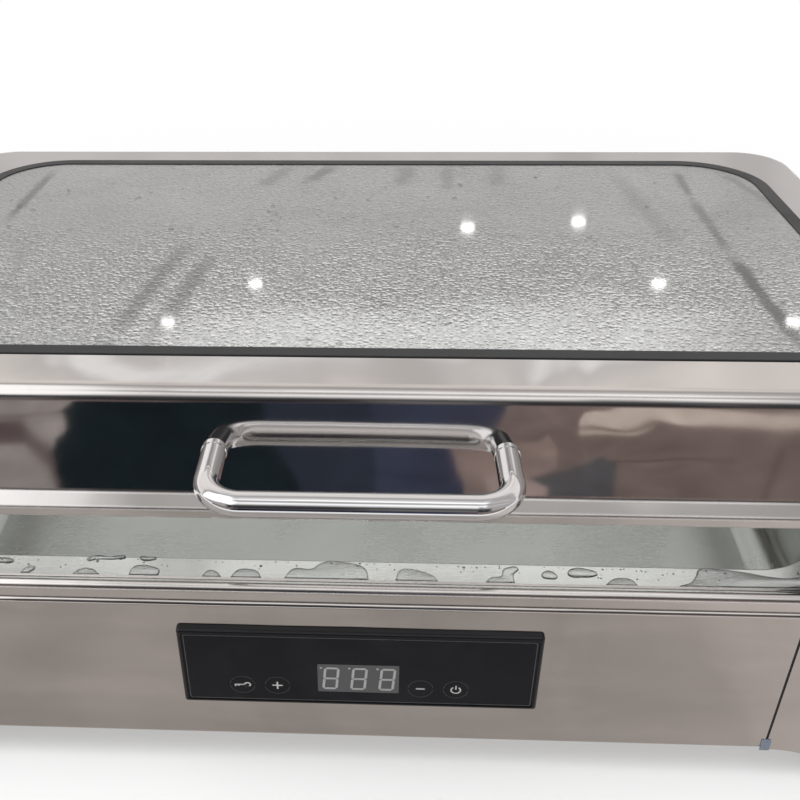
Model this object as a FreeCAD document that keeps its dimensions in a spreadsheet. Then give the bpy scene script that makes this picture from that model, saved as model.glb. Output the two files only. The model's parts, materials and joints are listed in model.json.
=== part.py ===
"""Countertop electric food warmer: casing with water bath, gastronorm pan and hinged glass lid.

Millimetres, +X to the right, +Y to the rear, +Z up.  Every piece is drawn in one working frame whose
origin lies on the table under the middle of the casing's front face, with the lid closed.  Placements
then move everything so that the origin is the bottom centre of the whole object, and turn the lid
pieces about the hinge axis to the angle at which the lid is left open.
"""
import FreeCAD, Part
import math
import os
import Sketcher

DIMENSIONS = {
    # casing
    "body_width": 692,
    "body_depth": 436,
    "body_corner": 66,
    "panel_height": 107,
    "panel_sheet": 1.2,
    "panel_flange": 14,
    "panel_edge": 3,
    "corner_run": 121,
    "seam_gap": 1.4,
    "seam_strip_depth": 9,
    "seam_plug_width": 5,
    "seam_plug_height": 8,
    "seam_plug_face": 0.8,
    "leg_drop": 22,
    "arch_radius": 73,
    "foot_height": 3,
    "foot_radius": 15,
    "foot_inset": 36,
    "foot_stem_radius": 3,
    "foot_head_radius": 5,
    "foot_head_height": 2,
    "base_screw_radius": 2,
    "base_screw_inset": 7,
    "base_screw_from_seam": 45,
    "vent_length": 60,
    "vent_width": 5,
    "vent_pitch": 16,
    "vent_rows": 8,
    # deck, bath and food pan
    "deck_inset": 1,
    "deck_sheet": 1,
    "deck_rise": 5.3,
    "skirt_gap": 0.8,
    "rim_width": 8,
    "rim_rise": 10,
    "rim_radius": 3.9,
    "gasket_width": 8,
    "gasket_inset": 7,
    "bath_depth": 81,
    "bath_inset": 7.5,
    "bath_radius": 14,
    "food_front": 12,
    "food_length": 530,
    "food_depth": 325,
    "food_height": 65,
    "food_sheet": 0.8,
    "food_flange": 14,
    "food_corner": 60,
    "food_draft": 4,
    "food_lip_radius": 1.5,
    "food_floor_radius": 18,
    # heater under the bath
    "heater_length": 440,
    "heater_depth": 240,
    "heater_corner": 24,
    "heater_sheet": 2,
    "element_radius": 3.3,
    "element_run": 340,
    "element_pitch": 56,
    "element_tail": 46,
    "terminal_radius": 1.8,
    "terminal_length": 14,
    "insulation_height": 8,
    "shield_sheet": 0.8,
    "shield_clearance": 1,
    "stud_radius": 2.5,
    "stud_clearance": 0.3,
    "stud_spacing_x": 400,
    "stud_spacing_y": 204,
    "stud_tail": 7,
    "nut_radius": 4.6,
    "nut_height": 4,
    "cutout_radius": 8,
    "cutout_height": 6,
    "cutout_base_radius": 11,
    "cutout_base_height": 2,
    "cutout_level": 40,
    "cutout_side": 60,
    "probe_radius": 2.5,
    "probe_length": 11,
    "probe_level": 4,
    "probe_nut_radius": 7,
    "probe_nut_height": 5,
    "probe_lead_radius": 2,
    "probe_lead_length": 12,
    # touch panel
    "control_width": 192,
    "control_height": 57,
    "control_drop": 18.1,
    "control_proud": 3.2,
    "control_bevel": 2,
    "control_rim": 3.2,
    "control_corner": 1.6,
    "control_depth": 9,
    "control_wall": 1.6,
    "control_clearance": 0.4,
    "control_shelf_width": 2,
    "glass_plate": 1.8,
    "glass_recess": 0.4,
    "glass_margin": 2.4,
    "display_width": 44,
    "display_height": 22,
    "display_depth": 6,
    "display_drop": 6.4,
    "touch_pad_radius": 6.5,
    "key_near_left": 44.2,
    "key_near_right": 33,
    "key_pitch": 19,
    "key_drop": 13.4,
    "board_sheet": 1.6,
    "board_margin": 11,
    "board_edge_margin": 7.4,
    "cover_depth": 15,
    "cover_overlap": 5,
    "boss_radius": 3,
    "boss_inset": 3.6,
    "post_inset": 6,
    "control_screw_radius": 1.5,
    # electronics and inlet
    "power_board_length": 120,
    "power_board_depth": 66,
    "power_board_from_side": 156,
    "power_board_from_rear": 60,
    "standoff_radius": 3.5,
    "standoff_height": 8,
    "standoff_inset": 6,
    "relay_length": 29,
    "relay_depth": 13,
    "relay_height": 16,
    "transformer_length": 32,
    "transformer_depth": 28,
    "transformer_height": 26,
    "inlet_from_side": 156,
    "inlet_level": 62,
    "inlet_flange_length": 50,
    "inlet_flange_height": 24,
    "inlet_flange_depth": 3,
    "inlet_body_length": 28,
    "inlet_body_height": 20,
    "inlet_body_depth": 22,
    "inlet_mouth_length": 24,
    "inlet_mouth_height": 16,
    "inlet_mouth_depth": 17,
    "inlet_screw_spacing": 40,
    "inlet_pin_length": 11,
    "inlet_pin_width": 4,
    "inlet_pin_sheet": 2,
    "inlet_pin_pitch": 7,
    "rear_vent_from_seam": 10,
    "rear_vent_width": 4,
    "rear_vent_height": 40,
    "rear_vent_pitch": 10,
    "rear_vent_count": 8,
    "small_screw_radius": 1.5,
    "small_head_radius": 2.8,
    "small_head_height": 1.8,
    # lid
    "lid_open": 4.9,
    "lid_inset": 13.8,
    "lid_gap": 0.4,
    "lid_height": 65.8,
    "lid_sheet": 1,
    "lid_lip": 6,
    "lid_step_height": 5.3,
    "lid_step_width": 6.5,
    "lid_draft": 10.7,
    "lid_shoulder": 8,
    "lid_bend": 2,
    "hem_width": 2.4,
    "hem_radius": 1,
    "window_margin": 48,
    "window_corner": 55,
    "window_shift": 2.7,
    "seal_width": 9,
    "seal_rise": 0.7,
    "seal_depth": 6,
    "seal_grip": 3.15,
    "seal_web": 1.1,
    "seal_edge": 0.5,
    "window_cut": 3,
    "lid_glass_sheet": 4,
    "lid_glass_drop": 0.2,
    "lid_glass_gap": 0.15,
    # handle
    "handle_spacing": 144,
    "handle_reach": 43.2,
    "handle_radius": 6.25,
    "handle_bend": 18,
    "handle_level": 34.1,
    "ferrule_radius": 6.55,
    "ferrule_length": 1.9,
    "washer_radius": 7,
    "washer_length": 3,
    "handle_screw_radius": 2.5,
    "handle_screw_bite": 12,
    "handle_head_radius": 4.5,
    "handle_head_height": 3,
    "screw_clearance": 0.1,
    # hinge
    "hinge_offset": 16,
    "hinge_rise": 12,
    "shaft_radius": 4,
    "shaft_clearance": 0.05,
    "bush_radius": 6,
    "bush_flange_radius": 8,
    "bush_flange": 1,
    "ear_sheet": 4,
    "ear_radius": 11,
    "ear_inner": 62,
    "ear_drop": 45,
    "arm_sheet": 4,
    "arm_inner": 52,
    "arm_radius": 10,
    "hinge_plate": 3,
    "base_plate_half": 80,
    "base_plate_drop": 60,
    "base_plate_top": 2,
    "barrel_half": 40,
    "barrel_radius": 13,
    "barrel_foot_half": 25,
    "barrel_foot_drop": 32,
    "barrel_cap": 4,
    "lid_plate_half": 70,
    "lid_plate_low": 19,
    "lid_plate_high": 54,
    "clip_radius": 6.5,
    "clip_height": 1,
    "clip_gap": 0.3,
    "shaft_tail": 1.5,
    "hinge_screw_radius": 2.5,
    "hinge_head_radius": 4.5,
    "hinge_head_height": 2.6,
    "hinge_screw_length": 12,
    "hinge_screw_x": 72,
    "hinge_screw_low": 50,
    "hinge_screw_high": 12,
    "lid_screw_x": 62,
    "lid_screw_pitch": 22,
    # filled in below, once the extent of the whole object is known
    "origin_y": 0,
}

AXIS_OF = {"XY_Plane": (2, 1), "XZ_Plane": (1, -1), "YZ_Plane": (0, 1)}
NEAR = 1e-3

PANEL_BOTTOM = "(Dims.foot_height + Dims.leg_drop)"
BODY_TOP = f"({PANEL_BOTTOM} + Dims.panel_height)"
HALF_WIDTH = "(Dims.body_width / 2)"
CENTRE_Y = "(Dims.body_depth / 2)"
FRONT_SEAM = f"({HALF_WIDTH} - Dims.corner_run)"
DECK = f"({BODY_TOP} + Dims.deck_rise)"
DECK_UNDER = f"({DECK} - Dims.deck_sheet)"
RIM_TOP = f"({BODY_TOP} + Dims.rim_rise)"
FOOD_Y = "(Dims.food_front + Dims.food_depth / 2)"
FOOD_TOP = f"({DECK} + Dims.food_sheet)"
BATH_FLOOR = f"({DECK} - Dims.bath_depth)"
BATH_UNDER = f"({BATH_FLOOR} - Dims.deck_sheet)"
BATH_HALF_Y = "(Dims.food_depth / 2 - Dims.bath_inset)"
BATH_HALF_X = "(Dims.food_length / 2 - Dims.bath_inset)"
HEATER_UNDER = f"({BATH_UNDER} - Dims.heater_sheet)"
ELEMENT_UNDER = f"({HEATER_UNDER} - 2 * Dims.element_radius)"
INSULATION_UNDER = f"({ELEMENT_UNDER} - Dims.insulation_height)"
SHIELD_UNDER = f"({INSULATION_UNDER} - Dims.shield_sheet)"
HEM = f"({FOOD_TOP} + Dims.lid_gap)"
LID_TOP = f"({HEM} + Dims.lid_height)"
STEP_LOW = f"({HEM} + Dims.lid_lip)"
STEP_HIGH = f"({STEP_LOW} + Dims.lid_step_height)"
STEP_ANGLE = "(atan(Dims.lid_step_width / Dims.lid_step_height) / 1 deg)"
CONTROL_Z = f"({BODY_TOP} - Dims.control_drop - Dims.control_height / 2)"
HINGE_Y = "(Dims.body_depth + Dims.hinge_offset)"
HINGE_Z = f"({BODY_TOP} + Dims.hinge_rise)"
HANDLE_Z = f"({HEM} + Dims.handle_level)"
BASE_PLATE_TOP = f"({PANEL_BOTTOM} + 2 * Dims.panel_sheet)"

AT_REST = "placement(vector(0; -Dims.origin_y; 0); rotation(vector(0; 0; 1); 0))"
FACING_REAR = (
    "placement(vector(0; -Dims.origin_y; 0); rotation(vector(0; 0; 1); 180); "
    f"vector(0; {CENTRE_Y}; 0))"
)
LID_OPENED = (
    "placement(vector(0; -Dims.origin_y; 0); rotation(vector(-1; 0; 0); Dims.lid_open); "
    f"vector(0; {HINGE_Y}; {HINGE_Z}))"
)

doc = FreeCAD.newDocument("food_warmer")
sheet = doc.addObject("Spreadsheet::Sheet", "Dims")
subparts = []


def fill_sheet():
    """Writes each driving dimension into the sheet, with its name beside it and as its alias."""
    for row, (name, size) in enumerate(DIMENSIONS.items(), start=1):
        sheet.set(f"A{row}", name)
        sheet.set(f"B{row}", str(size))
        sheet.setAlias(f"B{row}", name)
    doc.recompute()


def value(expression):
    """The number that an expression of sheet names has now."""
    result = sheet.evalExpression(expression)
    return float(getattr(result, "Value", result))


def finish(item, label, placement=AT_REST):
    """Names a finished sub-part, places it and lists it for export."""
    item.Label = label
    item.setExpression("Placement", placement)
    subparts.append(item)
    return item


def new_body(name):
    return doc.addObject("PartDesign::Body", name)


# ---------------------------------------------------------------- sketches

def new_sketch(body, plane, level, centre=("0", "0")):
    """An empty sketch on one of the body's own planes; level is its height along that plane's axis."""
    sketch = body.newObject("Sketcher::SketchObject", "sketch")
    support = next(item for item in body.Origin.OriginFeatures if item.Role == plane)
    sketch.AttachmentSupport = (support, [""])
    sketch.MapMode = "FlatFace"
    sign = AXIS_OF[plane][1]
    sketch.setExpression("AttachmentOffset.Base.x", centre[0])
    sketch.setExpression("AttachmentOffset.Base.y", centre[1])
    sketch.setExpression("AttachmentOffset.Base.z", f"{sign} * ({level})")
    return sketch


def bind(sketch, constraint, expression):
    index = sketch.addConstraint(constraint)
    sketch.setExpression(f"Constraints[{index}]", expression)


def pin_point(sketch, curve, end, across, up):
    """Holds one end of a curve at a place given by two expressions."""
    bind(sketch, Sketcher.Constraint("DistanceX", -1, 1, curve, end, value(across)), across)
    bind(sketch, Sketcher.Constraint("DistanceY", -1, 1, curve, end, value(up)), up)


def arc_between(start, end, radius, turn):
    """The short arc from start to end; turn is 1 when it runs anticlockwise and -1 when clockwise."""
    chord = end - start
    rise = math.sqrt(max(radius ** 2 - (chord.Length / 2) ** 2, 0))
    normal = FreeCAD.Vector(-chord.y, chord.x, 0).normalize()
    centre = (start + end) / 2 + normal * (turn * rise)
    first, last = (start, end) if turn > 0 else (end, start)
    first_angle = math.atan2(first.y - centre.y, first.x - centre.x)
    last_angle = math.atan2(last.y - centre.y, last.x - centre.x)
    circle = Part.Circle(centre, FreeCAD.Vector(0, 0, 1), radius)
    return Part.ArcOfCircle(circle, first_angle, last_angle)


def outline(sketch, corners, closed=True):
    """Draws a run of lines and arcs.  A corner (x, y) ends a line; (x, y, radius, turn) ends an arc."""
    places = [FreeCAD.Vector(value(corner[0]), value(corner[1]), 0) for corner in corners]
    first = sketch.GeometryCount
    curves = []
    for index in range(1, len(corners) + (1 if closed else 0)):
        corner = corners[index % len(corners)]
        start = places[index - 1]
        end = places[index % len(corners)]
        if len(corner) == 2:
            sketch.addGeometry(Part.LineSegment(start, end), False)
            curves.append((1, 2))
        else:
            radius, turn = corner[2], corner[3]
            curve = sketch.addGeometry(arc_between(start, end, value(radius), turn), False)
            if value(radius) > (end - start).Length / 2 + NEAR:
                bind(sketch, Sketcher.Constraint("Radius", curve, value(radius)), radius)
            else:
                sketch.addConstraint(Sketcher.Constraint("Symmetric", curve, 1, curve, 2, curve, 3))
            curves.append((1, 2) if turn > 0 else (2, 1))
    for index, (starts, ends) in enumerate(curves):
        pin_point(sketch, first + index, starts, *corners[index][:2])
        if index + 1 < len(curves):
            following = curves[index + 1][0]
            join = Sketcher.Constraint("Coincident", first + index, ends, first + index + 1, following)
            sketch.addConstraint(join)
    last = first + len(curves) - 1
    if closed:
        join = Sketcher.Constraint("Coincident", last, curves[-1][1], first, curves[0][0])
        sketch.addConstraint(join)
    else:
        pin_point(sketch, last, curves[-1][1], *corners[-1][:2])
    return sketch


def rounded(sketch, half_x, half_y, corner):
    """Draws a rounded rectangle about the sketch's own centre, starting on its left side."""
    return outline(sketch, [
        (f"-({half_x})", f"-({half_y}) + ({corner})"),
        (f"-({half_x}) + ({corner})", f"-({half_y})", corner, 1),
        (f"({half_x}) - ({corner})", f"-({half_y})"),
        (half_x, f"-({half_y}) + ({corner})", corner, 1),
        (half_x, f"({half_y}) - ({corner})"),
        (f"({half_x}) - ({corner})", half_y, corner, 1),
        (f"-({half_x}) + ({corner})", half_y),
        (f"-({half_x})", f"({half_y}) - ({corner})", corner, 1),
    ])


def rectangle(sketch, low_x, low_y, high_x, high_y):
    return outline(sketch, [(low_x, low_y), (high_x, low_y), (high_x, high_y), (low_x, high_y)])


def circles(sketch, places, radius):
    """Draws one circle of the given radius at each (x, y) place."""
    for across, up in places:
        centre = FreeCAD.Vector(value(across), value(up), 0)
        circle = Part.Circle(centre, FreeCAD.Vector(0, 0, 1), value(radius))
        curve = sketch.addGeometry(circle, False)
        pin_point(sketch, curve, 3, across, up)
        bind(sketch, Sketcher.Constraint("Radius", curve, value(radius)), radius)
    return sketch


def casing_loop(sketch, inset):
    """The casing's outline from above, drawn inwards by an inset."""
    return rounded(sketch, f"{HALF_WIDTH} - ({inset})", f"{CENTRE_Y} - ({inset})",
                   f"Dims.body_corner - ({inset})")


def food_loop(sketch, inset):
    """The food pan's flange outline from above, drawn inwards by an inset."""
    return rounded(sketch, f"Dims.food_length / 2 - ({inset})", f"Dims.food_depth / 2 - ({inset})",
                   f"Dims.food_corner - ({inset})")


def lid_loop(sketch, inset):
    """The lid's hem outline from above, drawn inwards by an inset."""
    return casing_loop(sketch, f"Dims.lid_inset + {inset}")


def window_loop(sketch, inset):
    """The outer edge of the glass seal from above, drawn inwards by an inset."""
    margin = f"Dims.lid_inset + Dims.window_margin + {inset}"
    return rounded(sketch, f"{HALF_WIDTH} - ({margin})", f"{CENTRE_Y} - ({margin})",
                   f"Dims.window_corner - ({inset})")


def on_casing(body, level):
    return new_sketch(body, "XY_Plane", level, ("0", CENTRE_Y))


def on_window(body, level):
    return new_sketch(body, "XY_Plane", level, ("0", f"{CENTRE_Y} + Dims.window_shift"))


def on_food(body, level):
    return new_sketch(body, "XY_Plane", level, ("0", FOOD_Y))


# ---------------------------------------------------------------- features

def extruded(kind, body, sketch, length, towards, taper=None):
    """A pad or pocket that runs towards +1 or -1 along the world axis square to its sketch."""
    feature = body.newObject(f"PartDesign::{kind}", kind.lower())
    feature.Profile = sketch
    feature.setExpression("Length", length)
    plane = sketch.AttachmentSupport[0][0].Role
    along_normal = towards == AXIS_OF[plane][1]
    feature.Reversed = along_normal if kind == "Pocket" else not along_normal
    if taper:
        feature.setExpression("TaperAngle", taper)
    return feature


def pad(body, sketch, length, towards=1, taper=None):
    return extruded("Pad", body, sketch, length, towards, taper)


def pocket(body, sketch, length, towards=-1, taper=None):
    return extruded("Pocket", body, sketch, length, towards, taper)


def fillet(body, radius, picks):
    """Rounds those edges of the body whose bounding box passes the test."""
    doc.recompute()
    base = body.Tip
    names = [f"Edge{index}" for index, edge in enumerate(base.Shape.Edges, start=1) if picks(edge.BoundBox)]
    feature = body.newObject("PartDesign::Fillet", "fillet")
    feature.Base = (base, names)
    feature.setExpression("Radius", radius)
    return feature


def at_level(level, half_x=HALF_WIDTH, half_y=CENTRE_Y, centre_y=CENTRE_Y):
    """Picks edges that lie flat at one height, inside a rectangle that is centred in X."""
    height, middle = value(level), value(centre_y)
    reach_x, reach_y = value(half_x) + NEAR, value(half_y) + NEAR

    def picks(box):
        flat = box.ZLength < NEAR and abs(box.ZMin - height) < NEAR
        across = max(abs(box.XMin), abs(box.XMax)) < reach_x
        return flat and across and max(middle - box.YMin, box.YMax - middle) < reach_y
    return picks


def along_x(*places):
    """Picks straight edges that run in X at any of the given (y, z) places."""
    spots = [(value(y), value(z)) for y, z in places]

    def picks(box):
        if box.YLength > NEAR or box.ZLength > NEAR:
            return False
        return any(abs(box.YMin - y) < NEAR and abs(box.ZMin - z) < NEAR for y, z in spots)
    return picks


def row_of(body, feature, axis, pitch, count):
    """Repeats a feature along one of the body's own axes."""
    pattern = body.newObject("PartDesign::LinearPattern", "row")
    pattern.Originals = [feature]
    direction = next(item for item in body.Origin.OriginFeatures if item.Role == axis)
    pattern.Direction = (direction, [""])
    pattern.setExpression("Length", f"({pitch}) * ({count} - 1)")
    pattern.setExpression("Occurrences", count)
    body.Tip = pattern
    return pattern


def swept(body, section, path):
    pipe = body.newObject("PartDesign::AdditivePipe", "sweep")
    pipe.Profile = section
    pipe.Spine = path
    return pipe


# ---------------------------------------------------------------- plain solids

TURN_Z = "rotation(vector(0; 0; 1); 0)"
TURN_DOWN = "rotation(vector(1; 0; 0); 180)"
TURN_X = "rotation(vector(0; 1; 0); 90)"
TURN_LEFT = "rotation(vector(0; 1; 0); -90)"
TURN_REAR = "rotation(vector(1; 0; 0); -90)"
TURN_FRONT = "rotation(vector(1; 0; 0); 90)"
TURN_LID_WALL = "rotation(vector(1; 0; 0); Dims.lid_draft - 90)"


def cylinder(radius, length, base="0"):
    item = doc.addObject("Part::Cylinder", "round")
    item.setExpression("Radius", radius)
    item.setExpression("Height", length)
    if base != "0":
        item.setExpression("Placement.Base.z", base)
    return item


def block(low, high):
    """A plain box between two opposite corners."""
    item = doc.addObject("Part::Box", "block")
    for axis, side, start, end in zip("xyz", ("Length", "Width", "Height"), low, high):
        item.setExpression(side, f"({end}) - ({start})")
        item.setExpression(f"Placement.Base.{axis}", start)
    return item


def joined(items):
    fuse = doc.addObject("Part::MultiFuse", "joined")
    fuse.Shapes = items
    return fuse


def grouped(items):
    group = doc.addObject("Part::Compound", "group")
    group.Links = items
    return group


def less(base, tool):
    cut = doc.addObject("Part::Cut", "cut")
    cut.Base = base
    cut.Tool = tool
    return cut


def turned(steps):
    """A stepped round pin that stands on its own origin: a (radius, length) for each step, upwards."""
    level = "0"
    items = []
    for radius, length in steps:
        items.append(cylinder(radius, length, level))
        level = f"({level} + {length})"
    return items[0] if len(items) == 1 else joined(items)


def put(item, place, turn=TURN_Z):
    item.setExpression("Placement", f"placement(vector({place[0]}; {place[1]}; {place[2]}); {turn})")
    return item


def pins(steps, places, turn=TURN_Z):
    """Equal stepped pins, one at each place, as a group of separate solids."""
    return grouped([put(turned(steps), place, turn) for place in places])


def ring(outer, inner, length):
    return less(cylinder(outer, length), cylinder(inner, length))


def hexagon_nut(bore):
    prism = doc.addObject("Part::Prism", "nut")
    prism.Polygon = 6
    prism.setExpression("Circumradius", "Dims.nut_radius")
    prism.setExpression("Height", "Dims.nut_height")
    return less(prism, cylinder(bore, "Dims.nut_height"))


def four(x, y, centre_y="0"):
    """The four places (x, y) that a rectangle of half sizes x and y gives."""
    return [(f"{sx} * ({x})", f"{centre_y} + {sy} * ({y})") for sx in (-1, 1) for sy in (-1, 1)]


# ---------------------------------------------------------------- casing

BASE_SCREW_X = f"({FRONT_SEAM} - Dims.base_screw_from_seam)"
PANEL_SCREWS = {
    "front": [(f"-{BASE_SCREW_X}", "Dims.base_screw_inset"), (BASE_SCREW_X, "Dims.base_screw_inset")],
    "side": [("0", "Dims.base_screw_inset")],
}
BASE_SCREW_HOLE = "Dims.base_screw_radius + Dims.screw_clearance"
INLET_X = f"({HALF_WIDTH} - Dims.inlet_from_side)"
INLET_PLACE = (INLET_X, "Dims.inlet_level")
INLET_SCREWS = [(f"{INLET_X} {sign} Dims.inlet_screw_spacing / 2", "Dims.inlet_level") for sign in "-+"]
HINGE_SCREWS = [(f"{side} * Dims.hinge_screw_x", f"{BODY_TOP} - {drop}")
                for side in (-1, 1) for drop in ("Dims.hinge_screw_low", "Dims.hinge_screw_high")]
HINGE_SCREW_HOLE = "Dims.hinge_screw_radius + Dims.screw_clearance"
CONTROL_CUT_X = "Dims.control_width / 2 - Dims.control_rim + Dims.control_clearance"
CONTROL_CUT_Z = "Dims.control_height / 2 - Dims.control_rim + Dims.control_clearance"


def casing_panel(name, length, screws):
    """A folded panel in channel section, its outer face on Y = 0 and its middle on X = 0."""
    body = new_body(name)
    skin, flange = "Dims.panel_sheet", "Dims.panel_flange"
    under_top, over_bottom = f"{BODY_TOP} - {skin}", f"{PANEL_BOTTOM} + {skin}"
    profile = outline(new_sketch(body, "YZ_Plane", f"-({length}) / 2"), [
        ("0", PANEL_BOTTOM), ("0", BODY_TOP), (flange, BODY_TOP), (flange, under_top),
        (skin, under_top), (skin, over_bottom), (flange, over_bottom), (flange, PANEL_BOTTOM),
    ])
    pad(body, profile, length)
    fillet(body, f"Dims.panel_edge - {skin}", along_x((skin, under_top), (skin, over_bottom)))
    fillet(body, "Dims.panel_edge", along_x(("0", BODY_TOP), ("0", PANEL_BOTTOM)))
    holes = circles(new_sketch(body, "XY_Plane", PANEL_BOTTOM), screws, BASE_SCREW_HOLE)
    pocket(body, holes, f"2 * {skin}", 1)
    return body


def front_panel():
    body = casing_panel("front_panel", f"2 * {FRONT_SEAM} - Dims.seam_gap", PANEL_SCREWS["front"])
    opening = new_sketch(body, "XZ_Plane", "-1", ("0", CONTROL_Z))
    rounded(opening, CONTROL_CUT_X, CONTROL_CUT_Z, "Dims.control_corner")
    pocket(body, opening, "Dims.panel_sheet + 2", 1)
    return finish(body, "front_panel")


def rear_panel():
    body = casing_panel("rear_panel", f"2 * {FRONT_SEAM} - Dims.seam_gap", PANEL_SCREWS["front"])
    cut = new_sketch(body, "XZ_Plane", "-1", INLET_PLACE)
    rounded(cut, "Dims.inlet_body_length / 2 + Dims.control_clearance",
            "Dims.inlet_body_height / 2 + Dims.control_clearance", "2")
    pocket(body, cut, "Dims.panel_sheet + 2", 1)
    small = circles(new_sketch(body, "XZ_Plane", "-1"), INLET_SCREWS,
                    "Dims.small_screw_radius + Dims.screw_clearance")
    pocket(body, small, "Dims.panel_sheet + 2", 1)
    large = circles(new_sketch(body, "XZ_Plane", "-1"), HINGE_SCREWS, HINGE_SCREW_HOLE)
    pocket(body, large, "Dims.panel_sheet + 2", 1)
    slot = new_sketch(body, "XZ_Plane", "-1", (f"Dims.rear_vent_from_seam - {FRONT_SEAM}", CONTROL_Z))
    rounded(slot, "Dims.rear_vent_width / 2", "Dims.rear_vent_height / 2", "Dims.rear_vent_width / 2.2")
    first = pocket(body, slot, "Dims.panel_sheet + 2", 1)
    doc.recompute()
    row_of(body, first, "X_Axis", "Dims.rear_vent_pitch", "Dims.rear_vent_count")
    return finish(body, "rear_panel", FACING_REAR)


def side_panels():
    for name, side in (("side_panel_left", -1), ("side_panel_right", 1)):
        length = "Dims.body_depth - 2 * Dims.corner_run - Dims.seam_gap"
        body = casing_panel(name, length, PANEL_SCREWS["side"])
        finish(body, name, f"placement(vector({side} * {HALF_WIDTH}; {CENTRE_Y} - Dims.origin_y; 0); "
                           f"rotation(vector(0; 0; 1); {side * 90}))")


def corner_strip(sketch, hand, near, far):
    """The strip that follows the casing's corner between two depths, from seam to seam."""
    seam_x = f"{hand} * ({FRONT_SEAM} + Dims.seam_gap / 2)"
    seam_y = "Dims.corner_run - Dims.seam_gap / 2"
    bend_x = f"{hand} * ({HALF_WIDTH} - Dims.body_corner)"
    near_x = f"{hand} * ({HALF_WIDTH} - ({near}))"
    far_x = f"{hand} * ({HALF_WIDTH} - ({far}))"
    return outline(sketch, [
        (seam_x, near),
        (bend_x, near),
        (near_x, "Dims.body_corner", f"Dims.body_corner - ({near})", hand),
        (near_x, seam_y),
        (far_x, seam_y),
        (far_x, "Dims.body_corner"),
        (bend_x, far, f"Dims.body_corner - ({far})", -hand),
        (seam_x, far),
    ])


def corner_leg(name, hand):
    """A folded corner with a foot: its lower edge drops from each seam in an arc to the foot."""
    body = new_body(name)
    skin, flange = "Dims.panel_sheet", "Dims.panel_flange"
    low, edge = "Dims.foot_height", value(HALF_WIDTH) - NEAR
    strip = corner_strip(new_sketch(body, "XY_Plane", low), hand, "0", flange)
    pad(body, strip, f"{BODY_TOP} - {low}")

    def outer_top(box):
        """Picks the top edges of the outer face: front run, bend and side run."""
        if box.ZLength > NEAR or abs(box.ZMin - value(BODY_TOP)) > NEAR:
            return False
        near_side = min(abs(box.XMin), abs(box.XMax)) > edge
        bend = box.YMin < NEAR and max(abs(box.XMin), abs(box.XMax)) > edge
        return box.YMax < NEAR or near_side or bend
    fillet(body, "Dims.panel_edge", outer_top)
    hollow = corner_strip(new_sketch(body, "XY_Plane", f"{low} + {skin}"), hand, skin, f"{flange} + 1")
    pocket(body, hollow, f"{BODY_TOP} - {low} - 2 * {skin}", 1)
    bend_x = f"{hand} * ({HALF_WIDTH} - Dims.body_corner)"
    sole = outline(new_sketch(body, "XY_Plane", low), [
        (bend_x, f"{skin} / 2"),
        (f"{hand} * ({HALF_WIDTH} - {skin} / 2)", "Dims.body_corner", f"Dims.body_corner - {skin} / 2", hand),
        (bend_x, "Dims.body_corner"),
    ])
    pad(body, sole, skin)
    run = "sqrt(Dims.arch_radius ^ 2 - (Dims.arch_radius - Dims.leg_drop) ^ 2)"
    seam, toe = f"{hand} * {FRONT_SEAM}", f"{hand} * ({FRONT_SEAM} + {run})"
    beyond = f"{hand} * ({FRONT_SEAM} - 5)"
    front_arch = outline(new_sketch(body, "XZ_Plane", "-1"), [
        (beyond, PANEL_BOTTOM), (seam, PANEL_BOTTOM), (toe, low, "Dims.arch_radius", -hand),
        (toe, "-1"), (beyond, "-1"),
    ])
    pocket(body, front_arch, "Dims.body_depth", 1)
    side_toe, side_beyond = f"Dims.corner_run - {run}", "Dims.corner_run + 5"
    side_arch = outline(new_sketch(body, "YZ_Plane", "0"), [
        (side_beyond, PANEL_BOTTOM), ("Dims.corner_run", PANEL_BOTTOM),
        (side_toe, low, "Dims.arch_radius", 1), (side_toe, "-1"), (side_beyond, "-1"),
    ])
    pocket(body, side_arch, "Dims.body_width", hand)
    stem = circles(new_sketch(body, "XY_Plane", low),
                   [(f"{hand} * ({HALF_WIDTH} - Dims.foot_inset)", "Dims.foot_inset")],
                   "Dims.foot_stem_radius + Dims.screw_clearance")
    pocket(body, stem, f"2 * {skin}", 1)
    return body


def corner_legs():
    for name, hand, placement in (
        ("corner_leg_front_left", -1, AT_REST), ("corner_leg_front_right", 1, AT_REST),
        ("corner_leg_rear_left", 1, FACING_REAR), ("corner_leg_rear_right", -1, FACING_REAR),
    ):
        finish(corner_leg(name, hand), name, placement)


def seam_places():
    """Each seam's place on the outer face, with the turn that makes the face look towards -Y."""
    places = []
    for side in (-1, 1):
        across = f"{side} * {FRONT_SEAM}"
        places.append((across, "0", 0))
        places.append((across, "Dims.body_depth", 180))
        for depth in ("Dims.corner_run", "Dims.body_depth - Dims.corner_run"):
            places.append((f"{side} * {HALF_WIDTH}", depth, side * 90))
    return places


def seam_pieces():
    """Dark strips in the casing's seams, and a small plug at the foot of each."""
    half, sunk = "Dims.seam_gap / 2", "Dims.panel_sheet / 2"
    plug_top = f"{PANEL_BOTTOM} + Dims.seam_plug_height"
    strips, plugs = [], []
    for across, depth, angle in seam_places():
        place, turn = (across, depth, "0"), f"rotation(vector(0; 0; 1); {angle})"
        strip = block((f"-{half}", sunk, plug_top),
                      (half, f"{sunk} + Dims.seam_strip_depth", f"{BODY_TOP} - Dims.panel_sheet"))
        face = block(("-Dims.seam_plug_width / 2", "-Dims.seam_plug_face", PANEL_BOTTOM),
                     ("Dims.seam_plug_width / 2", "0", plug_top))
        stem = block((f"-{half}", "0", BASE_PLATE_TOP), (half, "Dims.seam_strip_depth", plug_top))
        strips.append(put(grouped([strip]), place, turn))
        plugs.append(put(joined([face, stem]), place, turn))
    finish(grouped(strips), "seam_strips")
    finish(grouped(plugs), "seam_plugs")


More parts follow.
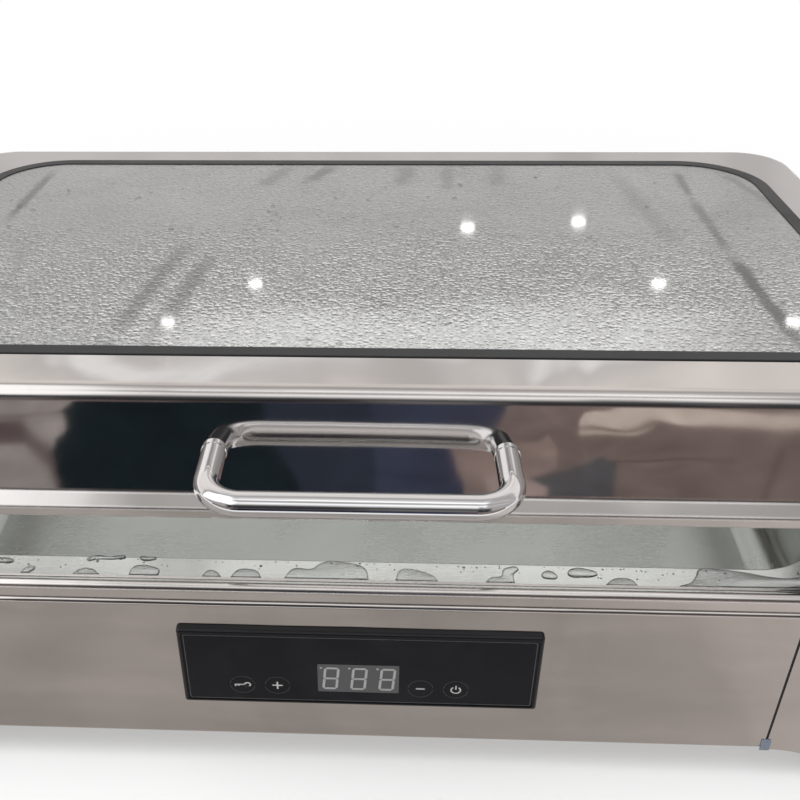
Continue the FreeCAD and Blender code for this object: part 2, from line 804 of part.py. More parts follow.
def base_screw_places():
    inset = "Dims.base_screw_inset"
    places = four(BASE_SCREW_X, f"{CENTRE_Y} - {inset}", CENTRE_Y)
    return places + [(f"{side} * ({HALF_WIDTH} - {inset})", CENTRE_Y) for side in (-1, 1)]


def base_plate():
    body = new_body("base_plate")
    level = f"{PANEL_BOTTOM} + Dims.panel_sheet"
    plate = casing_loop(on_casing(body, level), "Dims.panel_edge + Dims.control_clearance")
    pad(body, plate, "Dims.panel_sheet")
    holes = circles(new_sketch(body, "XY_Plane", level), base_screw_places(), BASE_SCREW_HOLE)
    pocket(body, holes, "2 * Dims.panel_sheet", 1)
    slot = new_sketch(body, "XY_Plane", level,
                      ("0", f"{FOOD_Y} - Dims.vent_pitch * (Dims.vent_rows - 1) / 2"))
    rounded(slot, "Dims.vent_length / 2", "Dims.vent_width / 2", "Dims.vent_width / 2.2")
    first = pocket(body, slot, "2 * Dims.panel_sheet", 1)
    doc.recompute()
    row_of(body, first, "Y_Axis", "Dims.vent_pitch", "Dims.vent_rows")
    finish(body, "base_plate")
    steps = [("2 * Dims.base_screw_radius", "Dims.base_screw_radius"),
             ("Dims.base_screw_radius", "4 * Dims.panel_sheet")]
    head_level = f"{PANEL_BOTTOM} - Dims.base_screw_radius"
    finish(pins(steps, [(x, y, head_level) for x, y in base_screw_places()]), "base_screws")


def rubber_feet():
    """Pads pushed into the soles: a wide pad, a stem through the sole and a retaining head."""
    steps = [("Dims.foot_radius", "Dims.foot_height"), ("Dims.foot_stem_radius", "Dims.panel_sheet"),
             ("Dims.foot_head_radius", "Dims.foot_head_height")]
    corners = four(f"{HALF_WIDTH} - Dims.foot_inset", f"{CENTRE_Y} - Dims.foot_inset", CENTRE_Y)
    finish(pins(steps, [(x, y, "0") for x, y in corners]), "rubber_feet")


# ---------------------------------------------------------------- deck and pans

def deck():
    """The formed top: a skirt and rolled rim all round, and a flat shelf open over the water bath."""
    body = new_body("deck")
    skin, inset = "Dims.deck_sheet", "Dims.deck_inset"
    skirt, inner = f"{BODY_TOP} + Dims.skirt_gap", f"{inset} + Dims.rim_width"
    pad(body, casing_loop(on_casing(body, skirt), inset), f"{RIM_TOP} - ({skirt})")
    pocket(body, casing_loop(on_casing(body, RIM_TOP), inner), f"{RIM_TOP} - {DECK}", -1)
    pocket(body, casing_loop(on_casing(body, skirt), f"{inset} + {skin}"), f"{DECK_UNDER} - ({skirt})", 1)
    groove = casing_loop(on_casing(body, DECK_UNDER), f"{inset} + {skin}")
    casing_loop(groove, f"{inner} - {skin}")
    pocket(body, groove, f"{RIM_TOP} - {skin} - {DECK_UNDER}", 1)
    fillet(body, f"Dims.rim_radius - {skin}", at_level(f"{RIM_TOP} - {skin}"))
    fillet(body, "Dims.rim_radius", at_level(RIM_TOP))
    pocket(body, food_loop(on_food(body, DECK), "Dims.bath_inset"), skin, -1)
    finish(body, "deck")


def water_pan():
    """The drawn water bath, butt-welded under the deck's shelf, with a hole for the probe."""
    body = new_body("water_pan")
    skin = "Dims.deck_sheet"
    tub = rounded(on_food(body, DECK_UNDER), f"{BATH_HALF_X} + {skin}", f"{BATH_HALF_Y} + {skin}",
                  f"Dims.food_corner - Dims.bath_inset + {skin}")
    pad(body, tub, f"{DECK_UNDER} - {BATH_UNDER}", -1)
    inside = food_loop(on_food(body, DECK_UNDER), "Dims.bath_inset")
    pocket(body, inside, f"Dims.bath_depth - {skin}", -1)
    fillet(body, "Dims.bath_radius", at_level(BATH_FLOOR))
    fillet(body, f"Dims.bath_radius + {skin}", at_level(BATH_UNDER))
    hole = circles(new_sketch(body, "YZ_Plane", f"-{BATH_HALF_X} + 5"),
                   [(FOOD_Y, f"{BATH_FLOOR} + Dims.bath_radius + Dims.probe_level")],
                   "Dims.probe_radius + Dims.screw_clearance")
    pocket(body, hole, "5 + 5", -1)
    finish(body, "water_pan")


def deck_gasket():
    """A soft seal between the casing's top folds and the deck."""
    body = new_body("deck_gasket")
    loop = casing_loop(on_casing(body, BODY_TOP), "Dims.gasket_inset")
    casing_loop(loop, "Dims.gasket_inset + Dims.gasket_width")
    pad(body, loop, f"{DECK_UNDER} - {BODY_TOP}")
    finish(body, "deck_gasket")


def food_pan():
    """A gastronorm pan hung by its flange: rounded mouth, drafted walls, broad floor radius."""
    body = new_body("food_pan")
    skin, lip, slope = "Dims.food_sheet", "Dims.food_flange", "-Dims.food_draft"
    floor = f"{FOOD_TOP} - Dims.food_height"
    pad(body, food_loop(on_food(body, DECK), "0"), skin)
    pad(body, food_loop(on_food(body, FOOD_TOP), f"{lip} - {skin}"), "Dims.food_height", -1, slope)
    pocket(body, food_loop(on_food(body, FOOD_TOP), lip), f"Dims.food_height - {skin}", -1, slope)
    fillet(body, f"Dims.food_floor_radius - {skin}", at_level(f"{floor} + {skin}"))
    fillet(body, "Dims.food_floor_radius", at_level(floor))
    mouth = (f"Dims.food_length / 2 - {lip} + {skin}", f"Dims.food_depth / 2 - {lip} + {skin}", FOOD_Y)
    fillet(body, "Dims.food_lip_radius", at_level(FOOD_TOP, *mouth))
    fillet(body, f"Dims.food_lip_radius + {skin}", at_level(DECK, *mouth))
    finish(body, "food_pan")


# ---------------------------------------------------------------- heater stack

HEATER_HALF_X = "Dims.heater_length / 2"
HEATER_HALF_Y = "Dims.heater_depth / 2"
STUD_PLACES = four("Dims.stud_spacing_x / 2", "Dims.stud_spacing_y / 2")


def heater_sheet(name, low, high, inset, bore):
    """A flat rounded plate of the heater stack with a hole for each stud."""
    body = new_body(name)
    plate = rounded(on_food(body, low), f"{HEATER_HALF_X} - {inset}", f"{HEATER_HALF_Y} - {inset}",
                    "Dims.heater_corner")
    pad(body, plate, f"({high}) - ({low})")
    pocket(body, circles(on_food(body, low), STUD_PLACES, bore), f"({high}) - ({low}) + 1", 1)
    return body


def heating_element():
    """A tubular element laid in four runs, with a terminal pin at each end."""
    body = new_body("heating_element")
    level = f"{HEATER_UNDER} - Dims.element_radius"
    bend, far, near = "Dims.element_pitch / 2", "Dims.element_run / 2", "-Dims.element_run / 2"
    tail = f"{near} - Dims.element_tail"
    rows = [f"{step} * Dims.element_pitch" for step in (-1.5, -0.5, 0.5, 1.5)]
    path = outline(on_food(body, level), [
        (tail, rows[0]), (far, rows[0]), (far, rows[1], bend, 1),
        (near, rows[1]), (near, rows[2], bend, -1),
        (far, rows[2]), (far, rows[3], bend, 1), (tail, rows[3]),
    ], closed=False)
    section = circles(new_sketch(body, "YZ_Plane", tail), [(f"{FOOD_Y} + {rows[0]}", level)],
                      "Dims.element_radius")
    swept(body, section, path)
    finish(body, "heating_element")
    ends = [(tail, f"{FOOD_Y} + {row}", level) for row in (rows[0], rows[3])]
    finish(pins([("Dims.terminal_radius", "Dims.terminal_length")], ends, TURN_LEFT), "element_terminals")


def heat_shield():
    """A pressed tray that holds the insulation and the element against the bath."""
    body = new_body("heat_shield")
    wide = "Dims.shield_clearance + Dims.shield_sheet"
    tray = rounded(on_food(body, SHIELD_UNDER), f"{HEATER_HALF_X} + {wide}", f"{HEATER_HALF_Y} + {wide}",
                   f"Dims.heater_corner + {wide}")
    pad(body, tray, f"{BATH_UNDER} - {SHIELD_UNDER}")
    hollow = rounded(on_food(body, INSULATION_UNDER), f"{HEATER_HALF_X} + Dims.shield_clearance",
                     f"{HEATER_HALF_Y} + Dims.shield_clearance", "Dims.heater_corner + Dims.shield_clearance")
    pocket(body, hollow, f"{BATH_UNDER} - {INSULATION_UNDER}", 1)
    holes = circles(on_food(body, SHIELD_UNDER), STUD_PLACES, "Dims.stud_radius + Dims.stud_clearance")
    pocket(body, holes, "2 * Dims.shield_sheet", 1)
    rows = [(f"{FOOD_Y} + {step} * Dims.element_pitch", f"{HEATER_UNDER} - Dims.element_radius")
            for step in (-1.5, 1.5)]
    ports = circles(new_sketch(body, "YZ_Plane", f"-{HEATER_HALF_X}"), rows,
                    "Dims.terminal_radius + Dims.shield_clearance")
    pocket(body, ports, f"2 * ({wide})", -1)
    finish(body, "heat_shield")


def heater_stack():
    bore = "Dims.stud_radius + Dims.stud_clearance"
    finish(heater_sheet("heater_plate", HEATER_UNDER, BATH_UNDER, "0", bore), "heater_plate")
    heating_element()
    finish(heater_sheet("insulation_pad", INSULATION_UNDER, ELEMENT_UNDER, "1", bore), "insulation_pad")
    heat_shield()
    places = four("Dims.stud_spacing_x / 2", "Dims.stud_spacing_y / 2", FOOD_Y)
    length = f"{BATH_UNDER} - {SHIELD_UNDER} + Dims.stud_tail"
    studs = pins([("Dims.stud_radius", length)], [(x, y, BATH_UNDER) for x, y in places], TURN_DOWN)
    finish(studs, "shield_studs")
    nuts = [put(hexagon_nut("Dims.stud_radius"), (x, y, f"{SHIELD_UNDER} - Dims.nut_height"))
            for x, y in places]
    finish(grouped(nuts), "shield_nuts")


def bath_sensors():
    """The safety cut-out on the bath's rear wall and the water probe through its left wall."""
    wall_y = f"{FOOD_Y} + {BATH_HALF_Y} + Dims.deck_sheet"
    cutout = turned([("Dims.cutout_base_radius", "Dims.cutout_base_height"),
                     ("Dims.cutout_radius", "Dims.cutout_height")])
    put(cutout, ("Dims.cutout_side", wall_y, f"{BATH_FLOOR} + Dims.cutout_level"), TURN_REAR)
    finish(grouped([cutout]), "thermal_cutout")
    inside = "Dims.probe_length"
    probe = turned([("Dims.probe_radius", f"{inside} + Dims.deck_sheet"),
                    ("Dims.probe_nut_radius", "Dims.probe_nut_height"),
                    ("Dims.probe_lead_radius", "Dims.probe_lead_length")])
    level = f"{BATH_FLOOR} + Dims.bath_radius + Dims.probe_level"
    put(probe, (f"-{BATH_HALF_X} + {inside}", FOOD_Y, level), TURN_LEFT)
    finish(grouped([probe]), "water_probe")


# ---------------------------------------------------------------- touch panel

CONTROL_HALF_X = "Dims.control_width / 2"
CONTROL_HALF_Z = "Dims.control_height / 2"
GLASS_BACK = "(Dims.glass_recess + Dims.glass_plate - Dims.control_proud)"
BOARD_FRONT = f"({GLASS_BACK} + Dims.display_depth)"
BOSS_PLACES = four(f"{CONTROL_HALF_X} - Dims.control_rim - Dims.boss_inset",
                   f"{CONTROL_HALF_Z} - Dims.control_rim - Dims.boss_inset")
POST_PLACES = four(f"{CONTROL_HALF_X} - Dims.board_margin - Dims.post_inset", "Dims.key_pitch / 2")
COVER_BACK = "(Dims.panel_sheet + Dims.cover_depth)"
KEY_PLACES = [f"-Dims.key_near_left - {step} * Dims.key_pitch" for step in (1, 0)]
KEY_PLACES += [f"Dims.key_near_right + {step} * Dims.key_pitch" for step in (0, 1)]


def on_control(body, level, drop="0"):
    return new_sketch(body, "XZ_Plane", level, ("0", f"{CONTROL_Z} - ({drop})"))


def control_loop(sketch, inset):
    return rounded(sketch, f"{CONTROL_HALF_X} - ({inset})", f"{CONTROL_HALF_Z} - ({inset})",
                   "Dims.control_corner")


def control_bezel():
    """A proud frame with a rounded top edge, a shelf for the glass, a neck through the panel, bosses."""
    body = new_body("control_bezel")
    front = "-Dims.control_proud"
    pad(body, control_loop(on_control(body, "0"), "0"), "Dims.control_proud", -1)
    fillet(body, "Dims.control_bevel", along_x((front, f"{CONTROL_Z} + {CONTROL_HALF_Z}")))
    pad(body, control_loop(on_control(body, "0"), "Dims.control_rim"), "Dims.control_depth", 1)
    seat = control_loop(on_control(body, front), "Dims.glass_margin")
    pocket(body, seat, f"{GLASS_BACK} + Dims.control_proud", 1)
    window = control_loop(on_control(body, GLASS_BACK), "Dims.glass_margin + Dims.control_shelf_width")
    pocket(body, window, "Dims.control_depth + Dims.control_proud", 1)
    bosses = circles(on_control(body, GLASS_BACK), BOSS_PLACES, "Dims.boss_radius")
    pad(body, bosses, f"Dims.control_depth - {GLASS_BACK}", 1)
    bores = circles(on_control(body, "Dims.control_depth"), BOSS_PLACES,
                    "Dims.control_screw_radius + Dims.screw_clearance")
    pocket(body, bores, "Dims.control_depth", -1)
    finish(body, "control_bezel")


def control_inner_pieces():
    """Cover glass, display, touch pads and board, stacked behind each other."""
    glass = new_body("control_glass")
    front = f"{GLASS_BACK} - Dims.glass_plate"
    pad(glass, control_loop(on_control(glass, front), "Dims.glass_margin + Dims.screw_clearance"),
        "Dims.glass_plate", 1)
    finish(glass, "control_glass")
    display = new_body("display_module")
    screen = rounded(on_control(display, GLASS_BACK, "Dims.display_drop"), "Dims.display_width / 2",
                     "Dims.display_height / 2", "1")
    pad(display, screen, "Dims.display_depth", 1)
    finish(display, "display_module")
    keys = [(across, GLASS_BACK, f"{CONTROL_Z} - Dims.key_drop") for across in KEY_PLACES]
    finish(pins([("Dims.touch_pad_radius", "Dims.display_depth")], keys, TURN_REAR), "touch_pads")
    board = new_body("touch_board")
    shape = rounded(on_control(board, BOARD_FRONT), f"{CONTROL_HALF_X} - Dims.board_margin",
                    f"{CONTROL_HALF_Z} - Dims.board_edge_margin", "1")
    pad(board, shape, "Dims.board_sheet", 1)
    finish(board, "touch_board")


def control_cover():
    """The rear cover: it bears on the panel's inner face and carries the board on four posts."""
    body = new_body("control_cover")
    front, wall = "Dims.panel_sheet", "Dims.control_wall"
    half = (f"{CONTROL_CUT_X} + Dims.cover_overlap", f"{CONTROL_CUT_Z} + Dims.cover_overlap")
    pad(body, rounded(on_control(body, front), *half, "Dims.control_corner"), "Dims.cover_depth", 1)
    hollow = rounded(on_control(body, front), f"{half[0]} - {wall}", f"{half[1]} - {wall}",
                     "Dims.control_corner - 1")
    pocket(body, hollow, f"Dims.cover_depth - {wall}", 1)
    posts = circles(on_control(body, f"{BOARD_FRONT} + Dims.board_sheet"), POST_PLACES, "Dims.boss_radius")
    pad(body, posts, f"{COVER_BACK} - ({BOARD_FRONT} + Dims.board_sheet)", 1)
    tubes = circles(on_control(body, "Dims.control_depth"), BOSS_PLACES, "Dims.boss_radius")
    pad(body, tubes, f"{COVER_BACK} - Dims.control_depth", 1)
    bores = circles(on_control(body, "Dims.control_depth"), BOSS_PLACES,
                    "Dims.control_screw_radius + Dims.screw_clearance")
    pocket(body, bores, "Dims.cover_depth", 1)
    finish(body, "control_cover")
    steps = [("Dims.small_head_radius", "Dims.small_head_height"),
             ("Dims.control_screw_radius", "Dims.cover_depth - 1")]
    places = [(x, f"{COVER_BACK} + Dims.small_head_height", f"{CONTROL_Z} + {z}") for x, z in BOSS_PLACES]
    finish(pins(steps, places, TURN_FRONT), "control_screws")


# ---------------------------------------------------------------- electronics and inlet

BOARD_LEVEL = f"({BASE_PLATE_TOP} + Dims.standoff_height)"


def centred_block(x, y, low, length, depth, height):
    """A box centred on (x, y) that stands on the level low."""
    return block((f"{x} - ({length}) / 2", f"{y} - ({depth}) / 2", low),
                 (f"{x} + ({length}) / 2", f"{y} + ({depth}) / 2", f"{low} + {height}"))


def power_electronics():
    """A board on four standoffs behind the bath, with its relay and transformer."""
    x = f"({HALF_WIDTH} - Dims.power_board_from_side)"
    y = "(Dims.body_depth - Dims.power_board_from_rear)"
    board = centred_block(x, y, BOARD_LEVEL, "Dims.power_board_length", "Dims.power_board_depth",
                          "Dims.board_sheet")
    finish(grouped([board]), "power_board")
    corners = four("Dims.power_board_length / 2 - Dims.standoff_inset",
                   "Dims.power_board_depth / 2 - Dims.standoff_inset")
    feet = [(f"{x} + {dx}", f"{y} + {dy}", BASE_PLATE_TOP) for dx, dy in corners]
    finish(pins([("Dims.standoff_radius", "Dims.standoff_height")], feet), "board_standoffs")
    top = f"({BOARD_LEVEL} + Dims.board_sheet)"
    relay = centred_block(f"({x} - Dims.power_board_length / 4)", y, top, "Dims.relay_length",
                          "Dims.relay_depth", "Dims.relay_height")
    finish(grouped([relay]), "power_relay")
    middle = f"({x} + Dims.power_board_length / 5)"
    bobbin = centred_block(middle, y, top, "Dims.transformer_length", "Dims.transformer_depth",
                           "Dims.transformer_height / 2")
    core = centred_block(middle, y, top, "Dims.transformer_length * 0.7", "Dims.transformer_depth * 1.15",
                         "Dims.transformer_height")
    finish(joined([bobbin, core]), "board_transformer")


def mains_inlet():
    """An appliance inlet in the rear panel: flange, body, mouth with three pins, and two screws."""
    body = new_body("mains_inlet")
    proud = "Dims.inlet_flange_depth"
    flange = rounded(new_sketch(body, "XZ_Plane", f"-{proud}", INLET_PLACE), "Dims.inlet_flange_length / 2",
                     "Dims.inlet_flange_height / 2", "Dims.inlet_flange_height / 4")
    pad(body, flange, proud, 1)
    barrel = rounded(new_sketch(body, "XZ_Plane", "0", INLET_PLACE), "Dims.inlet_body_length / 2",
                     "Dims.inlet_body_height / 2", "2")
    pad(body, barrel, "Dims.inlet_body_depth", 1)
    mouth = rounded(new_sketch(body, "XZ_Plane", f"-{proud}", INLET_PLACE), "Dims.inlet_mouth_length / 2",
                    "Dims.inlet_mouth_height / 2", "3")
    pocket(body, mouth, "Dims.inlet_mouth_depth", 1)
    holes = circles(new_sketch(body, "XZ_Plane", f"-{proud}"), INLET_SCREWS,
                    "Dims.small_screw_radius + Dims.screw_clearance")
    pocket(body, holes, f"2 * {proud}", 1)
    finish(body, "mains_inlet", FACING_REAR)
    floor = f"(Dims.inlet_mouth_depth - {proud})"
    blades = []
    for step, lift in ((-1, -1), (0, 1), (1, -1)):
        x = f"({INLET_X} + {step} * Dims.inlet_pin_pitch)"
        z = f"(Dims.inlet_level + {lift} * Dims.inlet_pin_width / 2)"
        half_x, half_z = "Dims.inlet_pin_sheet / 2", "Dims.inlet_pin_width / 2"
        low = (f"{x} - {half_x}", f"{floor} - Dims.inlet_pin_length", f"{z} - {half_z}")
        blades.append(block(low, (f"{x} + {half_x}", floor, f"{z} + {half_z}")))
    finish(grouped(blades), "inlet_pins", FACING_REAR)
    steps = [("Dims.small_head_radius", "Dims.small_head_height"), ("Dims.small_screw_radius", "8")]
    places = [(x, f"-{proud} - Dims.small_head_height", z) for x, z in INLET_SCREWS]
    finish(pins(steps, places, TURN_REAR), "inlet_screws", FACING_REAR)


# ---------------------------------------------------------------- hinge, fixed half

BRACKET_FACE = "(Dims.body_depth + Dims.hinge_plate)"
SHAFT_BORE = "(Dims.shaft_radius + Dims.shaft_clearance)"


def hinge_base_bracket():
    """A plate on the rear panel with two ears that reach out round the hinge axis."""
    body = new_body("hinge_base_bracket")
    ear = "Dims.ear_radius"
    plate_top = f"{BODY_TOP} - Dims.base_plate_top"
    reach = "(Dims.ear_inner + Dims.ear_sheet)"
    plate = rectangle(new_sketch(body, "XZ_Plane", "Dims.body_depth"), "-Dims.base_plate_half",
                      f"{BODY_TOP} - Dims.base_plate_drop", "Dims.base_plate_half", plate_top)
    pad(body, plate, "Dims.hinge_plate", 1)
    for side in (-1, 1):
        profile = outline(new_sketch(body, "YZ_Plane", f"{side} * Dims.ear_inner"), [
            (BRACKET_FACE, f"{BODY_TOP} - Dims.ear_drop"),
            (f"{HINGE_Y} + {ear}", HINGE_Z),
            (HINGE_Y, f"{HINGE_Z} + {ear}", ear, 1),
            (f"{HINGE_Y} - {ear}", HINGE_Z, ear, 1),
            (BRACKET_FACE, plate_top),
        ])
        pad(body, profile, "Dims.ear_sheet", side)
    bore = circles(new_sketch(body, "YZ_Plane", f"-{reach} - 1"), [(HINGE_Y, HINGE_Z)],
                   "Dims.bush_radius + Dims.shaft_clearance")
    pocket(body, bore, f"2 * {reach} + 2", 1)
    holes = circles(new_sketch(body, "XZ_Plane", "Dims.body_depth"), HINGE_SCREWS, HINGE_SCREW_HOLE)
    pocket(body, holes, "2 * Dims.hinge_plate", 1)
    finish(body, "hinge_base_bracket")


def hinge_fixed_pieces():
    """Bushes in the ears, the damper barrel on its foot, its end caps, and the bracket's screws."""
    bushes, caps = [], []
    for side, turn in ((-1, TURN_LEFT), (1, TURN_X)):
        bush = less(turned([("Dims.bush_radius", "Dims.ear_sheet"),
                            ("Dims.bush_flange_radius", "Dims.bush_flange")]),
                    cylinder(SHAFT_BORE, "Dims.ear_sheet + Dims.bush_flange"))
        bushes.append(put(bush, (f"{side} * Dims.ear_inner", HINGE_Y, HINGE_Z), turn))
        cap = ring("Dims.barrel_radius", SHAFT_BORE, "Dims.barrel_cap")
        caps.append(put(cap, (f"{side} * Dims.barrel_half", HINGE_Y, HINGE_Z), turn))
    finish(grouped(bushes), "hinge_bushes")
    finish(grouped(caps), "damper_caps")
    barrel = put(cylinder("Dims.barrel_radius", "2 * Dims.barrel_half"),
                 ("-Dims.barrel_half", HINGE_Y, HINGE_Z), TURN_X)
    foot = block(("-Dims.barrel_foot_half", BRACKET_FACE, f"{HINGE_Z} - Dims.barrel_foot_drop"),
                 ("Dims.barrel_foot_half", HINGE_Y, HINGE_Z))
    bore = put(cylinder(SHAFT_BORE, "2 * Dims.barrel_half"), ("-Dims.barrel_half", HINGE_Y, HINGE_Z), TURN_X)
    finish(less(joined([barrel, foot]), bore), "damper_barrel")
    steps = [("Dims.hinge_head_radius", "Dims.hinge_head_height"),
             ("Dims.hinge_screw_radius", "Dims.hinge_screw_length")]
    heads = [(x, f"{BRACKET_FACE} + Dims.hinge_head_height", z) for x, z in HINGE_SCREWS]
    finish(pins(steps, heads, TURN_FRONT), "base_bracket_screws")
    inner = "Dims.body_depth - Dims.panel_sheet"
    nuts = [put(hexagon_nut("Dims.hinge_screw_radius"), (x, inner, z), TURN_FRONT) for x, z in HINGE_SCREWS]
    finish(grouped(nuts), "base_bracket_nuts")


# ---------------------------------------------------------------- lid

WALL_FOOT = "(Dims.lid_lip + Dims.lid_step_height)"


def wall_shift(height):
    """How far the drafted lid wall has moved inwards from the hem at a height above the hem."""
    return f"(Dims.lid_inset + Dims.lid_step_width + ({height} - {WALL_FOOT}) * tan(Dims.lid_draft))"


def front_wall(height, out):
    """A point (y, z) off the front wall, out along its normal."""
    return (f"{wall_shift(height)} - ({out}) * cos(Dims.lid_draft)",
            f"{HEM} + {height} + ({out}) * sin(Dims.lid_draft)")


def rear_wall(height, out):
    """A point (y, z) off the rear wall, out along its normal."""
    return (f"Dims.body_depth - {wall_shift(height)} + ({out}) * cos(Dims.lid_draft)",
            f"{HEM} + {height} + ({out}) * sin(Dims.lid_draft)")


def lid_shell_body():
    """The drawn lid: hem, upright lip, sloping step, drafted wall, rounded shoulder and window."""
    body = new_body("drawn_shell")
    skin = "Dims.lid_sheet"
    draft, slope = "-Dims.lid_draft", f"-{STEP_ANGLE}"
    pad(body, lid_loop(on_casing(body, HEM), "0"), "Dims.lid_lip")
    pad(body, lid_loop(on_casing(body, STEP_LOW), "0"), "Dims.lid_step_height", 1, slope)
    wall = lid_loop(on_casing(body, STEP_HIGH), "Dims.lid_step_width")
    pad(body, wall, f"{LID_TOP} - {STEP_HIGH}", 1, draft)
    spread = f"(1 + cos({STEP_ANGLE} - Dims.lid_draft))"
    foot_in = f"(Dims.lid_step_width + {skin} * (cos({STEP_ANGLE}) + cos(Dims.lid_draft)) / {spread})"
    foot_up = f"({STEP_HIGH} - {skin} * (sin({STEP_ANGLE}) + sin(Dims.lid_draft)) / {spread})"
    lip_up = f"({STEP_LOW} - {skin} * tan({STEP_ANGLE} / 2))"
    pocket(body, lid_loop(on_casing(body, HEM), skin), f"{lip_up} - {HEM}", 1)
    pocket(body, lid_loop(on_casing(body, lip_up), skin), f"{foot_up} - {lip_up}", 1, slope)
    pocket(body, lid_loop(on_casing(body, foot_up), foot_in), f"{LID_TOP} - {skin} - {foot_up}", 1, draft)
    fillet(body, f"Dims.lid_shoulder - {skin}", at_level(f"{LID_TOP} - {skin}"))
    fillet(body, "Dims.lid_shoulder", at_level(LID_TOP))
    fillet(body, "Dims.lid_bend", at_level(STEP_LOW))
    fillet(body, "1.5 * Dims.lid_bend", at_level(STEP_HIGH))
    hem = lid_loop(on_casing(body, HEM), "0")
    lid_loop(hem, "Dims.hem_width")
    pad(body, hem, "Dims.hem_width")
    fillet(body, "Dims.hem_radius", at_level(HEM))
    pocket(body, window_loop(on_window(body, LID_TOP), "Dims.window_cut"), f"2 * {skin}", -1)
    return body


LID_SCREWS = [(f"{side} * Dims.lid_screw_x",
               f"(Dims.lid_plate_low + Dims.lid_plate_high {sign} Dims.lid_screw_pitch) / 2")
              for side in (-1, 1) for sign in ("-", "+")]
HANDLE_SIDES = ["-Dims.handle_spacing / 2", "Dims.handle_spacing / 2"]
HANDLE_WALL = wall_shift("Dims.handle_level")
FERRULE_FACE = f"({HANDLE_WALL} - Dims.ferrule_length)"
WASHER_FACE = f"({HANDLE_WALL} + Dims.lid_sheet + Dims.washer_length)"
HANDLE_BORE = "Dims.handle_screw_radius + Dims.screw_clearance"


def lid_wall_pins(steps, start):
    """Stepped pins square to the rear wall at each bracket screw, from a depth off its outer face."""
    places = [(x, *rear_wall(height, start)) for x, height in LID_SCREWS]
    return pins(steps, places, TURN_LID_WALL)


def lid_shell():
    """The drawn shell, drilled for the handle's and the bracket's screws."""
    rear = lid_wall_pins([(HINGE_SCREW_HOLE, "2 * Dims.hinge_screw_length")], "-Dims.hinge_screw_length")
    front = pins([(HANDLE_BORE, "2 * Dims.handle_screw_bite")],
                 [(x, f"{HANDLE_WALL} - Dims.handle_screw_bite", HANDLE_Z) for x in HANDLE_SIDES], TURN_REAR)
    finish(less(lid_shell_body(), grouped([rear, front])), "lid_shell", LID_OPENED)


def lid_window():
    """The glass and the seal that grips it in the window."""
    glass = new_body("lid_glass")
    glass_top = f"({LID_TOP} - Dims.lid_glass_drop)"
    glass_low = f"({glass_top} - Dims.lid_glass_sheet)"
    edge = "Dims.seal_grip + Dims.seal_web + Dims.lid_glass_gap"
    pad(glass, window_loop(on_window(glass, glass_low), edge), "Dims.lid_glass_sheet")
    finish(glass, "lid_glass", LID_OPENED)
    seal = new_body("glass_seal")
    loop = window_loop(on_window(seal, f"{LID_TOP} - Dims.seal_depth"), "0")
    window_loop(loop, "Dims.seal_width")
    pad(seal, loop, "Dims.seal_depth + Dims.seal_rise")
    fillet(seal, "Dims.seal_edge", at_level(f"{LID_TOP} + Dims.seal_rise"))
    grip = window_loop(on_window(seal, f"{LID_TOP} - Dims.lid_sheet"), "-1")
    window_loop(grip, "Dims.seal_grip")
    pocket(seal, grip, "Dims.lid_sheet", 1)
    seat = window_loop(on_window(seal, glass_low), "Dims.seal_grip + Dims.seal_web")
    pocket(seal, seat, "Dims.lid_glass_sheet", 1)
    finish(seal, "glass_seal", LID_OPENED)


def lid_handle():
    """A round bar bent to a U, drilled in its ends."""
    body = new_body("lid_handle")
    bar, bend, half = f"({HANDLE_WALL} - Dims.handle_reach)", "Dims.handle_bend", "Dims.handle_spacing / 2"
    path = outline(new_sketch(body, "XY_Plane", HANDLE_Z), [
        (f"-{half}", FERRULE_FACE), (f"-{half}", f"{bar} + {bend}"),
        (f"-{half} + {bend}", bar, bend, 1), (f"{half} - {bend}", bar),
        (half, f"{bar} + {bend}", bend, 1), (half, FERRULE_FACE),
    ], closed=False)
    section = circles(new_sketch(body, "XZ_Plane", FERRULE_FACE), [(f"-{half}", HANDLE_Z)],
                      "Dims.handle_radius")
    swept(body, section, path)
    bores = circles(new_sketch(body, "XZ_Plane", FERRULE_FACE), [(x, HANDLE_Z) for x in HANDLE_SIDES],
                    HANDLE_BORE)
    pocket(body, bores, "Dims.handle_screw_bite + 1", -1)
    finish(body, "lid_handle", LID_OPENED)


def wall_slab(off, reach):
    """A slab on one side of the front wall, used to cut rings to the wall's slope."""
    body = new_body("wall_slab")
    half = "(Dims.handle_spacing / 2 + 2 * Dims.ferrule_radius)"
    low, high = front_wall(WALL_FOOT, off), front_wall("Dims.lid_height", off)
    slab = outline(new_sketch(body, "YZ_Plane", f"-{half}"), [
        low, high, (f"{high[0]} + {reach}", high[1]), (f"{low[0]} + {reach}", low[1])])
    pad(body, slab, f"2 * {half}")
    return body


